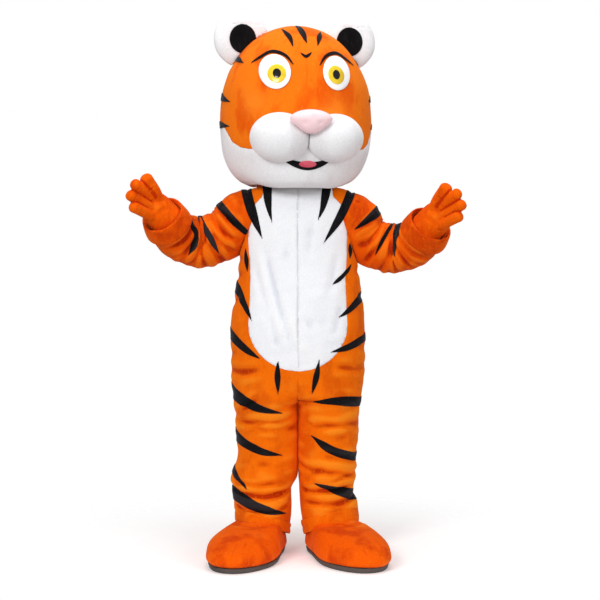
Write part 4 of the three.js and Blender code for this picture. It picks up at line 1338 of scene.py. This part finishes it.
def from_digit(points, start, end):
    """How far each point lies from the middle line of a digit."""
    start, way = np.array(start, float), np.array(end, float) - start
    share = np.clip((points - start) @ way / (way @ way), 0, 1)
    return np.linalg.norm(points - start - share[:, None] * way, axis=1)


def palm_form():
    across = Vector((-0.62, 0.06, 0.78))
    wide_way = (across - MITT_UP * across.dot(MITT_UP)).normalized()
    deep_way = MITT_UP.cross(wide_way)
    rows = np.array(PALM_ROWS, float)
    at = np.linspace(rows[0, 0] - 14, rows[-1, 0], 22)
    sized = between(at, rows[:, 0], rows)
    return tube(
        [MITT_UP * float(a) for a in at],
        ([wide_way * float(r[1]) for r in sized], [deep_way * float(r[2]) for r in sized]),
    )


def joined_form(forms, grain, rounds):
    """Closed forms fused into one soft skin, as points and triangles."""
    mesh = bpy.data.meshes.new("form")
    whole = bmesh.new()
    for form in forms:
        part = bpy.data.meshes.new("part")
        form.to_mesh(part)
        form.free()
        whole.from_mesh(part)
    bmesh.ops.recalc_face_normals(whole, faces=whole.faces)
    whole.to_mesh(mesh)
    whole.free()
    piece = bpy.data.objects.new("form", mesh)
    bpy.context.scene.collection.objects.link(piece)
    fuse = piece.modifiers.new("fuse", "REMESH")
    fuse.mode, fuse.voxel_size, fuse.adaptivity = "VOXEL", grain, 0
    soften = piece.modifiers.new("soften", "SMOOTH")
    soften.factor, soften.iterations = 0.5, rounds
    piece.modifiers.new("split", "TRIANGULATE")
    apply_all(piece)
    points = points_of(piece)
    faces = np.empty(len(piece.data.polygons) * 3, int)
    piece.data.polygons.foreach_get("vertices", faces)
    bpy.data.objects.remove(piece)
    return points, faces.reshape(-1, 3)


def build_mitts():
    forms = [palm_form()] + [digit_form(*digit) for digit in DIGITS.values()]
    points, faces = joined_form(forms, 2.6, 4)
    flat = np.zeros(len(points))
    sheet = (np.column_stack([points, points, flat, flat, flat]), faces)
    height = flat.copy()
    for places, depth, width, lip in MITT_CREASES:
        line = line_through(np.array(places, float))
        distance, share = to_line(points, line, 40)
        near = np.exp(-((distance / 14) ** 2))
        ends = smooth(share, 0, 0.2) * smooth(1 - share, 0, 0.2)
        inner = distance - np.min(distance)
        roll = np.exp(-(((inner - 2.1 * width) / width) ** 2))
        height += ends * near * (lip * roll - depth * np.exp(-((inner / width) ** 2)))
    sheet = raised(sheet, height + ripple(points, 30, 81))
    # Painted shade in the clefts between the fingers: "raised" is lowered there without moving the cloth.
    reach = np.sort([from_digit(points, *digit[:2]) for digit in DIGITS.values()], axis=0)
    beyond_palm = smooth(points @ np.array(MITT_UP), 52, 70)
    sheet[0][:, RAISED] -= 7.5 * beyond_palm * np.exp(-(((reach[1] - reach[0]) / 6.5) ** 2))
    sheet = dipped(sheet, [np.abs(points @ PALM_WAY - MITT_SEAM)], 1.5, 3.5)
    sheet = cut(sheet, lambda d: d[:, PLAIN] @ np.array(MITT_UP) + 60)
    palm = cut(sheet, lambda d: d[:, PLAIN] @ PALM_WAY - (MITT_SEAM + HALF_GAP))
    back = cut(sheet, lambda d: (MITT_SEAM - HALF_GAP) - d[:, PLAIN] @ PALM_WAY)
    for side, sign in SIDES.items():
        x, y, z = ARM_ROWS[side][-1][:3]
        place = Matrix.Translation((sign * (x + 6), y - 6, z + 8)) @ Matrix.Diagonal((sign, 1, 1, 1))
        for name, half in (("palm", palm), ("back", back)):
            data, faces = half
            mine = (data, faces[:, ::-1]) if sign < 0 else half
            label, stands_for = f"mitt_{name}_cloth_{side}", [f"mitt_{name}_{side}"]
            cloth(label, mine, THICK["mitt"], "mitt", stands_for, place=place)


# ---------------------------------------------------------------- boots

# Columns: height, reach to the toe and the heel, half width at the toe and at the heel.
BOOT_ROWS = np.array(
    [
        (18, 336, 108, 130, 80), (36, 350, 112, 139, 86), (62, 340, 110, 135, 84),
        (88, 290, 102, 121, 79), (107, 205, 95, 98, 74), (119, 100, 86, 73, 68), (138, 60, 70, 60, 60),
        (190, 60, 70, 60, 60),
    ],
    float,
)
BOOT_KEYS = np.append(0, np.cumsum(np.hypot(np.diff(BOOT_ROWS[:, 0]), 0.7 * np.diff(BOOT_ROWS[:, 1]))))
BOOTS = {"right": (-132, -22, -18), "left": (118, -22, 23)}
BOOT_CREASES = [
    ([(-64, 0.02), (-66, 0.13), (-69, 0.24), (-71, 0.36)], 2.4, 2.6, 1.0),
    ([(-82, 0.02), (-82, 0.13), (-83, 0.26), (-84, 0.40)], 2.4, 2.6, 1.0),
    ([(-102, 0.02), (-101, 0.13), (-99, 0.26), (-97, 0.38)], 2.4, 2.6, 1.0),
    ([(-150, 0.66), (-110, 0.68), (-60, 0.67), (-24, 0.66)], 3.0, 10, 2.0),
]


def boot_outline(angle, rows, grow=0.0):
    """Points of the boot's outline in plan at an angle, given its reaches and half widths."""
    along, across = -np.sin(angle), np.cos(angle)
    toe, heel, toe_wide, heel_wide = rows
    reach = np.where(along > 0, toe + grow, heel + grow)
    t = fuller(along, 0.86)
    part = (t * reach + heel) / (toe + heel)
    wide = heel_wide + (toe_wide - heel_wide) * smooth(part, 0.15, 0.75) + grow
    return fuller(across, 0.9) * wide, -t * reach


def boot_surface(angle, share):
    rows = between(share * BOOT_KEYS[-1], BOOT_KEYS, BOOT_ROWS)
    x, y = boot_outline(np.radians(angle), rows[:, 1:].T)
    return np.column_stack([x, y, rows[:, 0]])


def build_boot(side):
    x, y, turn = BOOTS[side]
    place = Matrix.Translation((x, y, 0)) @ Matrix.Rotation(math.radians(turn), 4, "Z")
    sheet = grid_sheet(boot_surface, np.linspace(-180, 180, 145), np.linspace(0, 1, 80))
    sheet = creased(sheet, boot_surface, BOOT_CREASES)
    points = sheet[0][:, PLAIN]
    sheet = raised(sheet, ripple(points, 60, 91 if side == "right" else 92) * 1.6)
    welt = points[:, 2] - 19.5
    sheet = dipped(sheet, [welt, seam(points[:, 1] > 0, points[:, 0])], wide=3.5)
    cloth(f"boot_cloth_{side}", sheet, THICK["boot"], "boot", [f"boot_{side}"], place=place)

    bpy.ops.mesh.primitive_cylinder_add(vertices=112, radius=1, depth=1)
    sole = bpy.context.object
    sole.name = f"sole_slab_{side}"
    bpy.ops.object.mode_set(mode="EDIT")
    bpy.ops.mesh.select_all(action="SELECT")
    bpy.ops.mesh.bevel(offset=0.01, segments=1, affect="EDGES")
    bpy.ops.object.mode_set(mode="OBJECT")
    sole.select_set(False)
    unit = points_of(sole)
    angle = np.arctan2(unit[:, 1], unit[:, 0])
    radius = np.hypot(unit[:, 0], unit[:, 1])
    high = unit[:, 2] > 0
    inner = radius < 0.995
    grow = np.where(high, 2.0, -2.0) - np.where(inner, np.where(high, 1.6, 3.5), 0)
    height = np.where(high, np.where(inner, 17.6, 16.4), np.where(inner, 0.0, 3.0))
    ox, oy = boot_outline(angle, BOOT_ROWS[0, 1:], grow)
    made = placed(np.column_stack([ox, oy, height]), place)
    sole.data.vertices.foreach_set("co", to_row(made).ravel())
    finish_piece(sole, "sole", [f"sole_{side}"])
    bpy.ops.object.select_all(action="DESELECT")


build_mitts()
for side in SIDES:
    build_boot(side)

# ---------------------------------------------------------------- stage, light and camera

FLOOR = -SHOULDER * MM


def build_stage():
    """A pale floor that fades into the pale studio round it."""
    bpy.ops.mesh.primitive_plane_add(size=24, location=(0, 0, FLOOR))
    floor = bpy.context.object
    floor.name = "floor"
    floor.select_set(False)
    pale, tree, base = new_material("pale floor")
    light = {"Base Color": (0.98, 0.98, 0.98, 1), "Emission Color": (1, 1, 1, 1), "Emission Strength": 0.2}
    for key, value in (light | {"Roughness": 0.9, "Specular IOR Level": 0.1}).items():
        base.inputs[key].default_value = value
    place = node(tree, "ShaderNodeTexCoord").outputs["Object"]
    away = node(tree, "ShaderNodeVectorMath", [(0, place)], operation="LENGTH").outputs["Value"]
    clear = node(tree, "ShaderNodeBsdfTransparent").outputs[0]
    links = [(0, ramp(tree, away, 0.42, 1.25)), (1, base.outputs[0]), (2, clear)]
    mixed = node(tree, "ShaderNodeMixShader", links)
    tree.links.new(mixed.outputs[0], tree.nodes["Material Output"].inputs["Surface"])
    floor.data.materials.append(pale)


def softbox(name, place, aim, size, power, colour=(1, 1, 1)):
    light = bpy.data.lights.new(name, "AREA")
    light.shape, light.size, light.energy, light.color = "SQUARE", size, power, colour
    lamp = bpy.data.objects.new(name, light)
    lamp.location = place
    lamp.rotation_euler = (Vector(aim) - Vector(place)).to_track_quat("-Z", "Y").to_euler()
    bpy.context.scene.collection.objects.link(lamp)


build_stage()
world = bpy.data.worlds.new("studio")
bpy.context.scene.world = world
world.use_nodes = True
sky = world.node_tree.nodes["Background"]
sky.inputs["Color"].default_value = (1, 1, 1, 1)
seen = world.node_tree.nodes.new("ShaderNodeLightPath").outputs["Is Camera Ray"]
world.node_tree.links.new(ramp(world.node_tree, seen, 0.0, 1.0, 0.46, 1.0), sky.inputs["Strength"])
softbox("key", (-1.9, -3.6, 1.5), (0, 0, -0.35), 1.3, 84)
softbox("fill", (2.6, -3.2, 0.6), (0, 0, -0.4), 1.8, 34)
softbox("top", (0.2, -0.4, 2.6), (0, 0, -0.4), 2.0, 46)
bpy.context.scene.view_settings.view_transform = "Standard"

CAMERA = Vector((0.007, -4.6, 1.015 + FLOOR))
bpy.ops.object.camera_add(location=CAMERA, rotation=(math.radians(90 - 1.61), 0, 0))
camera = bpy.context.object
camera.data.lens = 78.8
bpy.context.scene.camera = camera

# ---------------------------------------------------------------- what is cloth and what is padded

FOAM = {"head_face_cloth": 0.9, "head_back_cloth": 0.9, "head_jaw_cloth": 0.9}
FOAM |= {"nose_piece": 0.8, "tongue_piece": 0.6}

for piece, widest in sewn_on:
    side = "left" if piece.name.endswith("left") else "right"
